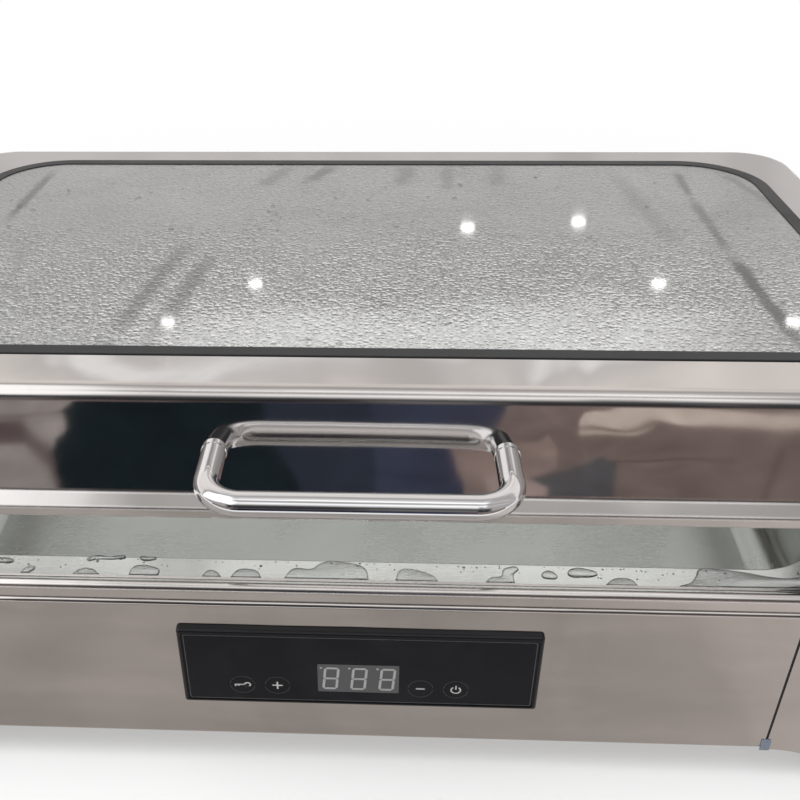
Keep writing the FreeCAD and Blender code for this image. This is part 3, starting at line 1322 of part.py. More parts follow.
def handle_fixings():
    """Ferrules outside and washers inside, both cut to the wall's slope, and the two screws."""
    ferrules = pins([("Dims.ferrule_radius", "3 * Dims.ferrule_length")],
                    [(x, FERRULE_FACE, HANDLE_Z) for x in HANDLE_SIDES], TURN_REAR)
    bores = pins([(HANDLE_BORE, "6 * Dims.ferrule_length")],
                 [(x, f"{FERRULE_FACE} - 1", HANDLE_Z) for x in HANDLE_SIDES], TURN_REAR)
    finish(less(less(ferrules, wall_slab("0", "60")), bores), "handle_ferrules", LID_OPENED)
    washers = pins([("Dims.washer_radius", "4 * Dims.washer_length")],
                   [(x, WASHER_FACE, HANDLE_Z) for x in HANDLE_SIDES], TURN_FRONT)
    holes = pins([(HANDLE_BORE, "6 * Dims.washer_length")],
                 [(x, f"{WASHER_FACE} + 1", HANDLE_Z) for x in HANDLE_SIDES], TURN_FRONT)
    slab = wall_slab("-Dims.lid_sheet", "-60")
    finish(less(less(washers, slab), holes), "handle_washers", LID_OPENED)
    steps = [("Dims.handle_head_radius", "Dims.handle_head_height"),
             ("Dims.handle_screw_radius", f"{WASHER_FACE} - {FERRULE_FACE} + Dims.handle_screw_bite")]
    places = [(x, f"{WASHER_FACE} + Dims.handle_head_height", HANDLE_Z) for x in HANDLE_SIDES]
    finish(pins(steps, places, TURN_FRONT), "handle_screws", LID_OPENED)


def hinge_lid_bracket():
    """A plate on the lid's rear wall with two arms down to the hinge shaft."""
    body = new_body("folded_bracket")
    plate, arm = "Dims.hinge_plate", "Dims.arm_radius"
    reach = "(Dims.arm_inner + Dims.arm_sheet)"
    low, high = rear_wall("Dims.lid_plate_low", "0"), rear_wall("Dims.lid_plate_high", "0")
    low_out, high_out = rear_wall("Dims.lid_plate_low", plate), rear_wall("Dims.lid_plate_high", plate)
    section = outline(new_sketch(body, "YZ_Plane", "-Dims.lid_plate_half"), [low, high, high_out, low_out])
    pad(body, section, "2 * Dims.lid_plate_half")
    for side in (-1, 1):
        profile = outline(new_sketch(body, "YZ_Plane", f"{side} * Dims.arm_inner"), [
            low, high, high_out, (HINGE_Y, f"{HINGE_Z} + {arm}"),
            (f"{HINGE_Y} + {arm}", HINGE_Z, arm, -1), (HINGE_Y, f"{HINGE_Z} - {arm}", arm, -1),
            (f"{HINGE_Y} - {arm}", HINGE_Z, arm, -1),
        ])
        pad(body, profile, "Dims.arm_sheet", side)
    bore = circles(new_sketch(body, "YZ_Plane", f"-{reach} - 1"), [(HINGE_Y, HINGE_Z)], SHAFT_BORE)
    pocket(body, bore, f"2 * {reach} + 2", 1)
    holes = lid_wall_pins([(HINGE_SCREW_HOLE, "2 * Dims.hinge_screw_length")], "-Dims.hinge_screw_length")
    finish(less(body, holes), "hinge_lid_bracket", LID_OPENED)


def hinge_moving_pieces():
    """The shaft with its clips, and the screws and nuts of the lid bracket."""
    clip_in = "(Dims.ear_inner + Dims.ear_sheet + Dims.bush_flange + Dims.clip_gap)"
    half = f"({clip_in} + Dims.clip_height + Dims.shaft_tail)"
    shaft = put(cylinder("Dims.shaft_radius", f"2 * {half}"), (f"-{half}", HINGE_Y, HINGE_Z), TURN_X)
    finish(grouped([shaft]), "hinge_shaft", LID_OPENED)
    clips = [put(ring("Dims.clip_radius", "Dims.shaft_radius", "Dims.clip_height"),
                 (f"{side} * {clip_in}", HINGE_Y, HINGE_Z), turn)
             for side, turn in ((-1, TURN_LEFT), (1, TURN_X))]
    finish(grouped(clips), "shaft_circlips", LID_OPENED)
    bite = "(Dims.hinge_screw_length - Dims.hinge_plate)"
    steps = [("Dims.hinge_screw_radius", "Dims.hinge_screw_length"),
             ("Dims.hinge_head_radius", "Dims.hinge_head_height")]
    finish(lid_wall_pins(steps, f"-{bite}"), "lid_bracket_screws", LID_OPENED)
    nuts = []
    for x, height in LID_SCREWS:
        place = (x, *rear_wall(height, "-Dims.lid_sheet - Dims.nut_height"))
        nuts.append(put(hexagon_nut("Dims.hinge_screw_radius"), place, TURN_LID_WALL))
    finish(grouped(nuts), "lid_bracket_nuts", LID_OPENED)


# ---------------------------------------------------------------- whole object

def build():
    fill_sheet()
    front_panel()
    rear_panel()
    side_panels()
    corner_legs()
    seam_pieces()
    base_plate()
    rubber_feet()
    deck()
    water_pan()
    deck_gasket()
    food_pan()
    heater_stack()
    bath_sensors()
    control_bezel()
    control_inner_pieces()
    control_cover()
    power_electronics()
    mains_inlet()
    hinge_base_bracket()
    hinge_fixed_pieces()
    lid_shell()
    lid_window()
    lid_handle()
    handle_fixings()
    hinge_lid_bracket()
    hinge_moving_pieces()
    doc.recompute()


def centre_origin():
    """Moves the origin to the middle of the object's depth, as it stands with the lid ajar."""
    boxes = [item.Shape.optimalBoundingBox(False, False) for item in subparts]
    middle = (min(box.YMin for box in boxes) + max(box.YMax for box in boxes)) / 2
    sheet.set(sheet.getCellFromAlias("origin_y"), f"{middle:.4f}")
    doc.recompute()


def check():
    """Stops with a message if any object failed or any sub-part is empty or broken."""
    faults = [f"{item.Name}: {item.State}" for item in doc.Objects
              if "Invalid" in item.State or "Error" in item.State]
    for item in subparts:
        if item.Shape.isNull() or not item.Shape.isValid() or not item.Shape.Solids:
            faults.append(f"{item.Label}: bad shape")
    if faults:
        raise RuntimeError("; ".join(faults))


def export():
    os.makedirs("parts", exist_ok=True)
    for item in subparts:
        item.Shape.exportStep(f"parts/{item.Label}.step")
        print(item.Label, len(item.Shape.Solids), round(item.Shape.Volume, 1))


build()
check()
centre_origin()
check()
export()
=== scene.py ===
"""Finishes, water, steam and printed panel of a food warmer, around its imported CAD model."""

import json
import math
import random

import bpy
from mathutils import Matrix, Vector


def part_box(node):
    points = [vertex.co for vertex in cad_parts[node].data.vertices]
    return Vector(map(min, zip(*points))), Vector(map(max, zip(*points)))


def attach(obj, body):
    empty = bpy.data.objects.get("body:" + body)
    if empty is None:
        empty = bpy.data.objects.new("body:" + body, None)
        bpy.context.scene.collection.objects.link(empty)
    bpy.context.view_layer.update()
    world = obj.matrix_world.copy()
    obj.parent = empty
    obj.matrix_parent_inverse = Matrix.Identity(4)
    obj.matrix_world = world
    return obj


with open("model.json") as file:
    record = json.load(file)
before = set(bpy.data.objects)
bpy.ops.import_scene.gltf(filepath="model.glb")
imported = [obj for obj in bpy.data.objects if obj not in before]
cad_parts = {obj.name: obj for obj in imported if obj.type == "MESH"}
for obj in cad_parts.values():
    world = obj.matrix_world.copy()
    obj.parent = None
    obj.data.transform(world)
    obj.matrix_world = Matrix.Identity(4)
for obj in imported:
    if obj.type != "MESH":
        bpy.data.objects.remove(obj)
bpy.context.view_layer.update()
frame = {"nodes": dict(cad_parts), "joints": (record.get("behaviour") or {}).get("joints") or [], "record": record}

MM = 0.001
GLASS_IOR = 1.5

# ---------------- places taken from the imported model

HINGE = next(joint for joint in frame["joints"] if joint["name"] == "lid_hinge")
PIVOT = Vector(HINGE["pos_m"])
PROPPED = math.radians(-HINGE["range_deg"][0])
LID_TURN = (Matrix.Translation(PIVOT) @ Matrix.Rotation(PROPPED, 4, Vector(HINGE["axis"]))
            @ Matrix.Translation(-PIVOT))


def shut_box(node):
    """The corners of a lid node with the lid shut."""
    shut = LID_TURN.inverted()
    places = [shut @ vertex.co for vertex in frame["nodes"][node].data.vertices]
    low = Vector([min(place[axis] for place in places) for axis in range(3)])
    high = Vector([max(place[axis] for place in places) for axis in range(3)])
    return low, high


CASING_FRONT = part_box("front_panel")[0].y
PAN_LOW, PAN_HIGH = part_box("food_pan")
PANE_LOW, PANE_HIGH = shut_box("lid_glass")
COVER_LOW, COVER_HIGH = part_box("control_glass")
SCREEN_LOW, SCREEN_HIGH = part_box("display_module")


# ---------------- node trees

class Tree:
    """Adds nodes to a node tree, each one column to the right of the last."""

    def __init__(self, tree):
        self.tree = tree
        self.column = 0

    def add(self, kind, inputs=(), **settings):
        node = self.tree.nodes.new(kind)
        node.location = (180 * self.column, -60 * (self.column % 4))
        self.column += 1
        for name, value in settings.items():
            setattr(node, name, value)
        for name, value in dict(inputs).items():
            self.feed(node.inputs[name], value)
        return node

    def feed(self, socket, value):
        if isinstance(value, bpy.types.NodeSocket):
            self.tree.links.new(value, socket)
        else:
            socket.default_value = value

    def sum(self, operation, *values, clamp=False):
        """One step of arithmetic."""
        node = self.add("ShaderNodeMath", operation=operation, use_clamp=clamp)
        for socket, value in zip(node.inputs, values):
            self.feed(socket, value)
        return node.outputs[0]

    def times(self, first, second):
        return self.sum("MULTIPLY", first, second)

    def plus(self, first, second):
        return self.sum("ADD", first, second)

    def largest(self, *values):
        first, *others = values
        return self.sum("MAXIMUM", first, self.largest(*others)) if others else first

    def away(self, value, middle=0.0):
        """How far a value lies from the middle."""
        return self.sum("ABSOLUTE", self.sum("SUBTRACT", value, middle))

    def vector(self, operation, first, second=(0, 0, 0)):
        node = self.add("ShaderNodeVectorMath", operation=operation)
        self.feed(node.inputs[0], first)
        self.feed(node.inputs["Scale" if operation == "SCALE" else 1], second)
        return node.outputs["Value" if operation in ("DOT_PRODUCT", "LENGTH") else "Vector"]

    def parts(self, vector):
        """The X, Y and Z of a vector."""
        return self.add("ShaderNodeSeparateXYZ", {"Vector": vector}).outputs

    def span(self, value, low, high, new_low=0.0, new_high=1.0, smooth=False):
        """Carries a value from one range to another, held inside it."""
        curve = "SMOOTHSTEP" if smooth else "LINEAR"
        node = self.add("ShaderNodeMapRange", interpolation_type=curve)
        for name, number in (("Value", value), ("From Min", low), ("From Max", high),
                             ("To Min", new_low), ("To Max", new_high)):
            self.feed(node.inputs[name], number)
        return node.outputs["Result"]

    def noise(self, vector, scale, detail=2.0, roughness=0.5, distortion=0.0):
        node = self.add("ShaderNodeTexNoise", {"Vector": vector, "Scale": scale, "Detail": detail,
                                               "Roughness": roughness, "Distortion": distortion})
        return node.outputs["Fac"]

    def mix(self, factor, first, second):
        node = self.add("ShaderNodeMix", data_type="RGBA")
        self.feed(node.inputs[0], factor)
        self.feed(node.inputs[6], first)
        self.feed(node.inputs[7], second)
        return node.outputs[2]

    def place(self):
        return self.add("ShaderNodeTexCoord").outputs["Object"]

    def effect(self, group, **inputs):
        """The outlet of one of the node groups below."""
        node = self.add("ShaderNodeGroup", node_tree=group)
        for name, value in inputs.items():
            self.feed(node.inputs[name], value)
        return node.outputs[0]

    def marks(self, place, scale):
        """How far wiping has dulled the surface."""
        return self.effect(POLISH, Vector=place, Scale=scale)

    def bump(self, height, distance, strength=1.0, normal=None):
        inputs = {"Height": height, "Distance": distance, "Strength": strength}
        if normal is not None:
            inputs["Normal"] = normal
        return self.add("ShaderNodeBump", inputs).outputs["Normal"]


def new_effect(name, outlet, **inlets):
    """A node group with one number out; gives back its tree, its inlets and its outlet."""
    group = bpy.data.node_groups.new(name, "ShaderNodeTree")
    for label, kind in {"Vector": "Vector", **inlets}.items():
        group.interface.new_socket(label, in_out="INPUT", socket_type="NodeSocket" + kind)
    group.interface.new_socket(outlet, in_out="OUTPUT", socket_type="NodeSocketFloat")
    tree = Tree(group)
    inlet = tree.add("NodeGroupInput")
    return tree, inlet.outputs, tree.add("NodeGroupOutput").inputs[0]


def polish_marks():
    """Wiped smears with fine hairlines: 0 is clean, 1 is dull."""
    tree, inlet, outlet = new_effect("polish_marks", "Dull", Scale="Float")
    smear = tree.noise(inlet["Vector"], inlet["Scale"], 5, 0.62, 0.8)
    fine = tree.noise(inlet["Vector"], tree.times(inlet["Scale"], 22.0), 3, 0.6)
    broad = tree.span(smear, 0.42, 0.72, 0.0, 0.8, True)
    tree.feed(outlet, tree.plus(broad, tree.times(fine, 0.25)))
    return tree.tree


def sheet_waves():
    """The slow waves that press and roll leave in thin sheet."""
    tree, inlet, outlet = new_effect("sheet_waves", "Height", Scale="Float")
    slow = tree.noise(inlet["Vector"], inlet["Scale"], 1, 0.4, 0.3)
    quick = tree.noise(inlet["Vector"], tree.times(inlet["Scale"], 3.1), 1, 0.4, 0.2)
    tree.feed(outlet, tree.plus(slow, tree.times(quick, 0.22)))
    return tree.tree


def brushed_grain():
    """Long hairlines along the axis whose stretch is smallest."""
    tree, inlet, outlet = new_effect("brushed_grain", "Height", Stretch="Vector")
    stretched = tree.vector("MULTIPLY", inlet["Vector"], inlet["Stretch"])
    coarse = tree.noise(stretched, 1.0, 3, 0.7)
    fine = tree.noise(stretched, 3.7, 2, 0.6)
    tree.feed(outlet, tree.plus(coarse, tree.times(fine, 0.5)))
    return tree.tree


def moulded_grain():
    """The fine leather-like grain of a spark-eroded mould."""
    tree, inlet, outlet = new_effect("moulded_grain", "Height", Scale="Float")
    cells = tree.add("ShaderNodeTexVoronoi", {"Vector": inlet["Vector"], "Scale": inlet["Scale"]},
                     feature="SMOOTH_F1")
    grit = tree.noise(inlet["Vector"], tree.times(inlet["Scale"], 2.3), 2, 0.6)
    tree.feed(outlet, tree.plus(cells.outputs["Distance"], tree.times(grit, 0.4)))
    return tree.tree


def dew_beads():
    """The height of round beads of condensation of mixed sizes."""
    tree, inlet, outlet = new_effect("dew_beads", "Height", Scale="Float", Cover="Float")
    cells = tree.add("ShaderNodeTexVoronoi", {"Vector": inlet["Vector"], "Scale": inlet["Scale"],
                                              "Randomness": 0.9})
    pick = tree.add("ShaderNodeSeparateColor", {"Color": cells.outputs["Color"]})
    radius = tree.times(inlet["Cover"], tree.span(pick.outputs[0], 0.0, 1.0, 0.25, 1.0))
    share = tree.sum("DIVIDE", cells.outputs["Distance"], tree.largest(radius, 0.001))
    bulge = tree.largest(tree.sum("SUBTRACT", 1.0, tree.times(share, share)), 0.0)
    tree.feed(outlet, tree.times(tree.sum("SQRT", bulge), radius))
    return tree.tree


def run_mark():
    """A streak that a drop leaves between two points: 1 on its line, 0 beside it."""
    tree, inlet, outlet = new_effect("run_mark", "Mask", From="Vector", To="Vector", Width="Float")
    along = tree.vector("SUBTRACT", inlet["To"], inlet["From"])
    reach = tree.vector("SUBTRACT", inlet["Vector"], inlet["From"])
    share = tree.sum("DIVIDE", tree.vector("DOT_PRODUCT", reach, along),
                     tree.vector("DOT_PRODUCT", along, along), clamp=True)
    aside = tree.vector("SUBTRACT", reach, tree.vector("SCALE", along, share))
    wander = tree.span(tree.noise(inlet["Vector"], 60.0, 4, 0.65), 0.3, 0.7, 0.6, 1.5)
    width = tree.times(inlet["Width"], wander)
    core = tree.span(tree.vector("LENGTH", aside), tree.times(width, 0.2),
                     tree.times(width, 1.25), 1.0, 0.0, True)
    ends = tree.span(tree.away(share, 0.5), 0.3, 0.5, 1.0, 0.25, True)
    tree.feed(outlet, tree.times(core, ends))
    return tree.tree


POLISH = polish_marks()
WAVES = sheet_waves()
GRAIN = brushed_grain()
MOULDED = moulded_grain()
DEW = dew_beads()
RUN = run_mark()


# ---------------- finishes

def empty_tree(owner):
    """The node tree of a material or a world, cleared."""
    owner.use_nodes = True
    owner.node_tree.nodes.clear()
    return Tree(owner.node_tree)


def new_finish(name, **shader):
    """A material with one Principled shader; gives it back with its tree and the inputs."""
    material = bpy.data.materials.new(name)
    tree = empty_tree(material)
    principled = tree.add("ShaderNodeBsdfPrincipled")
    output = tree.add("ShaderNodeOutputMaterial")
    tree.feed(output.inputs["Surface"], principled.outputs[0])
    for label, value in shader.items():
        tree.feed(principled.inputs[label.replace("_", " ")], value)
    return material, tree, principled.inputs


def shade(colour, factor=1.0):
    return tuple(channel * factor for channel in colour) + (1.0,)


def polished(name, colour, smooth, dull, wave_scale, wave_depth, edge=0.0):
    """Mirror-polished sheet: wiped smears over slow waves, folds rounded by the radius edge."""
    material, tree, shader = new_finish(name, Metallic=1.0)
    place = tree.place()
    marks = tree.marks(place, 7.0)
    tree.feed(shader["Base Color"], tree.mix(marks, shade(colour), shade(colour, 0.9)))
    tree.feed(shader["Roughness"], tree.span(marks, 0.0, 1.0, smooth, dull))
    waves = tree.effect(WAVES, Vector=place, Scale=wave_scale)
    normal = tree.bump(waves, wave_depth)
    if edge:
        rolled = tree.add("ShaderNodeBevel", {"Radius": edge, "Normal": normal}, samples=4)
        normal = rolled.outputs["Normal"]
    tree.feed(shader["Normal"], normal)
    return material


def brushed(name, colour, smooth, dull, stretch, depth):
    """Satin sheet with hairlines."""
    material, tree, shader = new_finish(name, Metallic=1.0)
    place = tree.place()
    marks = tree.marks(place, 9.0)
    grain = tree.effect(GRAIN, Vector=place, Stretch=stretch)
    tone = tree.sum("MULTIPLY_ADD", grain, 0.5, tree.times(marks, 0.3))
    tree.feed(shader["Base Color"], tree.mix(tone, shade(colour, 1.05), shade(colour, 0.86)))
    tree.feed(shader["Roughness"], tree.span(tone, 0.2, 1.0, smooth, dull))
    tree.feed(shader["Normal"], tree.bump(grain, depth, 0.35))
    return material


def moulded(name, colour, smooth, dull, scale, depth, **more):
    """Moulded plastic or rubber: fine grain with handled patches."""
    material, tree, shader = new_finish(name, **more)
    place = tree.place()
    marks = tree.marks(place, 14.0)
    tree.feed(shader["Base Color"], tree.mix(marks, shade(colour, 0.92), shade(colour, 1.12)))
    tree.feed(shader["Roughness"], tree.span(marks, 0.0, 1.0, smooth, dull))
    grain = tree.effect(MOULDED, Vector=place, Scale=scale)
    tree.feed(shader["Normal"], tree.bump(grain, depth, 0.5))
    return material


def zinc_plated():
    """Zinc sheet with faint crystal patches."""
    material, tree, shader = new_finish("zinc_plated", Metallic=1.0)
    place = tree.place()
    cells = tree.add("ShaderNodeTexVoronoi", {"Vector": place, "Scale": 130.0})
    pick = tree.add("ShaderNodeSeparateColor", {"Color": cells.outputs["Color"]})
    marks = tree.marks(place, 8.0)
    tone = tree.sum("MULTIPLY_ADD", pick.outputs[0], 0.6, tree.times(marks, 0.4))
    tree.feed(shader["Base Color"], tree.mix(tone, (0.52, 0.53, 0.54, 1), (0.68, 0.69, 0.7, 1)))
    tree.feed(shader["Roughness"], tree.span(tone, 0.0, 1.0, 0.3, 0.48))
    return material


def felt():
    """Pressed ceramic fibre: a soft fuzzy mat."""
    material, tree, shader = new_finish("fibre_felt", Sheen_Weight=0.3)
    place = tree.place()
    fuzz = tree.noise(place, 900.0, 6, 0.75, 1.5)
    tree.feed(shader["Base Color"], tree.mix(fuzz, (0.62, 0.6, 0.54, 1), (0.86, 0.84, 0.78, 1)))
    tree.feed(shader["Roughness"], tree.span(fuzz, 0.0, 1.0, 0.85, 1.0))
    tree.feed(shader["Normal"], tree.bump(fuzz, 0.0006))
    return material


def clear_pane():
    """Toughened glass with faint wipe marks."""
    material, tree, shader = new_finish("clear_pane", Base_Color=(0.93, 0.96, 0.95, 1),
                                        Transmission_Weight=1.0, Metallic=0.0, IOR=GLASS_IOR)
    marks = tree.marks(tree.place(), 6.0)
    tree.feed(shader["Roughness"], tree.span(marks, 0.0, 1.0, 0.0, 0.05))
    return material


def cover_glass():
    """Black back-printed panel glass with fingerprints."""
    material, tree, shader = new_finish("cover_glass", IOR=GLASS_IOR, Metallic=0.0,
                                        Specular_IOR_Level=0.22)
    place = tree.place()
    marks = tree.marks(place, 30.0)
    tree.feed(shader["Base Color"], tree.mix(marks, (0.004, 0.005, 0.008, 1),
                                             (0.009, 0.010, 0.014, 1)))
    tree.feed(shader["Roughness"], tree.span(marks, 0.0, 1.0, 0.03, 0.16))
    waves = tree.effect(WAVES, Vector=place, Scale=20.0)
    tree.feed(shader["Normal"], tree.bump(waves, 0.00005))
    return material


def circuit_board():
    """Green solder resist with copper tracks showing through."""
    material, tree, shader = new_finish("circuit_board", Metallic=0.0)
    place = tree.place()
    bricks = tree.add("ShaderNodeTexBrick", {"Vector": place, "Scale": 130.0, "Mortar Size": 0.05,
                                             "Color1": (0.02, 0.13, 0.06, 1),
                                             "Color2": (0.03, 0.17, 0.08, 1),
                                             "Mortar": (0.07, 0.3, 0.15, 1)})
    tree.feed(shader["Base Color"], bricks.outputs["Color"])
    marks = tree.marks(place, 20.0)
    tree.feed(shader["Roughness"], tree.span(marks, 0.0, 1.0, 0.25, 0.45))
    tree.feed(shader["Normal"], tree.bump(bricks.outputs["Fac"], 0.0001))
    return material


def printed_ink(name, colour):
    """Screen-printed ink on the panel glass."""
    material, tree, shader = new_finish(name, Metallic=0.0)
    grit = tree.noise(tree.place(), 2500.0, 3, 0.6)
    tree.feed(shader["Base Color"], tree.mix(grit, shade(colour, 0.85), shade(colour, 1.15)))
    tree.feed(shader["Roughness"], tree.span(grit, 0.2, 0.8, 0.3, 0.5))
    return material


WATER = {"IOR": 1.333, "Transmission_Weight": 1.0, "Metallic": 0.0, "Roughness": 0.0}
WATER_RIM = 1.5 * MM


def clean_water():
    """Still water with a trace of movement in its skin, and a painted shade along its rim where it curves down."""
    material, tree, shader = new_finish("clean_water", **WATER)
    curved = tree.add("ShaderNodeBevel", {"Radius": WATER_RIM}, samples=6).outputs["Normal"]
    # Painted shade: the water is tinted dark where its rim curves down and left clear over its flat top.
    level = tree.span(tree.sum("ABSOLUTE", tree.parts(curved)["Z"]), 0.7, 0.97, 0.0, 1.0, True)
    tree.feed(shader["Base Color"], tree.mix(level, (0.12, 0.125, 0.12, 1), (0.97, 0.98, 0.98, 1)))
    ripple = tree.noise(tree.place(), 160.0, 2, 0.4)
    tree.feed(shader["Normal"], tree.bump(ripple, 0.0001, normal=curved))
    return material


def bead_water():
    """Standing drops over mist: clear, with the mist's grey showing through."""
    material, tree, shader = new_finish("bead_water", Alpha=0.55, **WATER)
    tint = tree.noise(tree.place(), 300.0, 2, 0.5)
    tree.feed(shader["Base Color"], tree.mix(tint, (0.86, 0.88, 0.87, 1), (0.94, 0.96, 0.95, 1)))
    return material


# The mist's middle above the pane and its thickness, then the size of its beads.
FILM_LIFT = 0.05 * MM
FILM_DEPTH = 0.06 * MM
FINE_BEADS, COARSE_BEADS, BEAD_COVER = 560.0, 330.0, 0.62

# Streaks in the steam: both ends in mm from the casing's front, lid shut, the width, how clear.
RUNS = (
    (-114, 219, -134, 81, 7, 0.7), (-95, 203, -112, 81, 7, 0.7), (-134, 81, -141, 60, 6, 0.5),
    (-112, 81, -117, 60, 6, 0.5), (227, 354, 224, 300, 4.5, 0.85), (224, 300, 223, 200, 4.5, 0.8),
    (223, 200, 226, 78, 5, 1.3), (-240, 355, -244, 248, 4.5, 0.9), (258, 354, 281, 267, 5, 0.6),
    (179, 358, 194, 207, 8, 0.4), (-218, 217, -208, 128, 7, 0.2), (-60, 366, -78, 318, 8, 0.6),
    (-28, 366, -44, 330, 7, 0.8), (30, 366, 22, 322, 8, 0.6), (58, 366, 56, 310, 6, 0.5),
    (96, 366, 92, 320, 7, 0.5),
)


def shut_place(tree):
    """Places on the lid as they are with the lid shut, from the casing's front."""
    turn = LID_TURN.inverted()
    shift = turn.translation - Vector((0, CASING_FRONT, 0))
    node = tree.add("ShaderNodeMapping", {"Vector": tree.place(), "Location": shift,
                                          "Rotation": turn.to_euler()})
    return node.outputs["Vector"]


def steam_mist():
    """Fine fogged glass: an even grey mist, a band of coarse beads with painted light and shade on them, darker
    run streaks, and a painted glow on its underside.
    """
    material, tree, shader = new_finish("steam_mist", Metallic=0.0, IOR=1.33, Coat_Weight=1.0,
                                        Coat_Roughness=0.05, Coat_IOR=GLASS_IOR,
                                        Emission_Strength=1.0)
    place = shut_place(tree)
    across, back, up = tree.parts(place)
    level = tree.vector("MULTIPLY", place, (1, 1, 0))
    streaks = 0.0
    for from_x, from_y, to_x, to_y, width, clear in RUNS:
        mask = tree.effect(RUN, Vector=level, From=(from_x * MM, from_y * MM, 0),
                           To=(to_x * MM, to_y * MM, 0), Width=width * MM)
        streaks = tree.largest(streaks, tree.times(mask, clear))

    patch = tree.noise(level, 9.0, 4, 0.6, 0.4)
    near = tree.plus(back, tree.span(patch, 0.3, 0.7, -0.03, 0.03))
    aside = tree.away(across, 0.04)
    band = tree.times(tree.span(near, 0.08, 0.125, 0.45, 1.0, True),
                      tree.span(near, 0.155, 0.26, 1.0, 0.15, True))
    band = tree.times(band, tree.span(aside, 0.13, 0.24, 1.0, 0.6, True))
    bright = tree.times(tree.span(near, 0.09, 0.15, 0.33, 0.0, True),
                        tree.span(aside, 0.1, 0.2, 1.0, 0.1, True))

    # Painted light and shade on the coarse beads: the difference of their height at two nearby places makes each
    # bead lighter on one side and darker on the other, as if it bent the light.
    shifted = tree.vector("ADD", place, (0.0001, 0.0007, 0))
    fine = tree.effect(DEW, Vector=place, Scale=FINE_BEADS, Cover=BEAD_COVER)
    coarse = tree.effect(DEW, Vector=place, Scale=COARSE_BEADS, Cover=BEAD_COVER)
    behind = tree.effect(DEW, Vector=shifted, Scale=COARSE_BEADS, Cover=BEAD_COVER)
    lens = tree.times(tree.sum("SUBTRACT", coarse, behind), band)
    grit = tree.noise(place, 620.0, 3, 0.75)
    tone = tree.sum("MULTIPLY_ADD", lens, 2.6,
                    tree.plus(bright, tree.span(patch, 0.3, 0.7, 0.12, 0.23)))
    rough = tree.sum("MULTIPLY_ADD", band, 0.75, 0.16)
    speck = tree.sum("MULTIPLY_ADD", tree.span(grit, 0.32, 0.68, -0.5, 0.5), rough, tone,
                     clamp=True)
    mist = tree.mix(speck, (0.04, 0.04, 0.039, 1), (0.74, 0.74, 0.725, 1))
    washed = tree.sum("MULTIPLY", streaks, 0.72, clamp=True)
    tree.feed(shader["Base Color"], tree.mix(washed, mist, (0.07, 0.071, 0.066, 1)))
    tree.feed(shader["Roughness"], tree.span(grit, 0.2, 0.8, 0.22, 0.5))
    tree.feed(shader["Alpha"], tree.span(streaks, 0.0, 1.0, 0.88, 0.8))

    # Painted light: the mist's underside glows white, less where the streaks have cleared it, standing in for
    # light that the fogged pane lets down into the pan; it is no lamp.
    middle, step = PANE_HIGH.z + FILM_LIFT, 0.01 * MM
    underside = tree.span(up, middle - step, middle + step, 1.0, 0.0)
    through = tree.times(underside, tree.span(streaks, 0.0, 1.0, 1.0, 0.1))
    tree.feed(shader["Emission Color"], tree.mix(through, (0, 0, 0, 1), (0.97, 0.965, 0.95, 1)))
    beads = tree.times(coarse, tree.times(band, 1.3))
    tree.feed(shader["Normal"], tree.bump(tree.plus(tree.times(fine, 0.45), beads), 0.0011, 0.75))
    return material


def pan_sheet():
    """Satin pan: the flange painted lighter, a painted highlight where it catches the light, and the walls and
    floor below it painted darker, a painted shade under the lid.
    """
    material, tree, shader = new_finish("pan_sheet", Metallic=1.0)
    place = tree.place()
    marks = tree.marks(place, 9.0)
    grain = tree.effect(GRAIN, Vector=place, Stretch=(60, 1400, 1400))
    tone = tree.sum("MULTIPLY_ADD", grain, 0.5, tree.times(marks, 0.3))
    level = PAN_HIGH.z
    # Painted light and shade: from 2 mm under the flange's top upwards the pan gets the light colour, and from 6
    # mm down the walls and floor get the dark one.
    clean = tree.span(tree.parts(place)["Z"], level - 6 * MM, level - 2 * MM, 0.0, 1.0)
    shaded_steel = tree.mix(tone, (0.56, 0.562, 0.54, 1), (0.44, 0.442, 0.425, 1))
    bright = tree.mix(tone, (0.92, 0.905, 0.885, 1), (0.8, 0.785, 0.765, 1))
    tree.feed(shader["Base Color"], tree.mix(clean, shaded_steel, bright))
    tree.feed(shader["Roughness"], tree.span(tone, 0.2, 1.0, 0.2, 0.36))
    tree.feed(shader["Normal"], tree.bump(grain, 0.00005, 0.35))
    return material


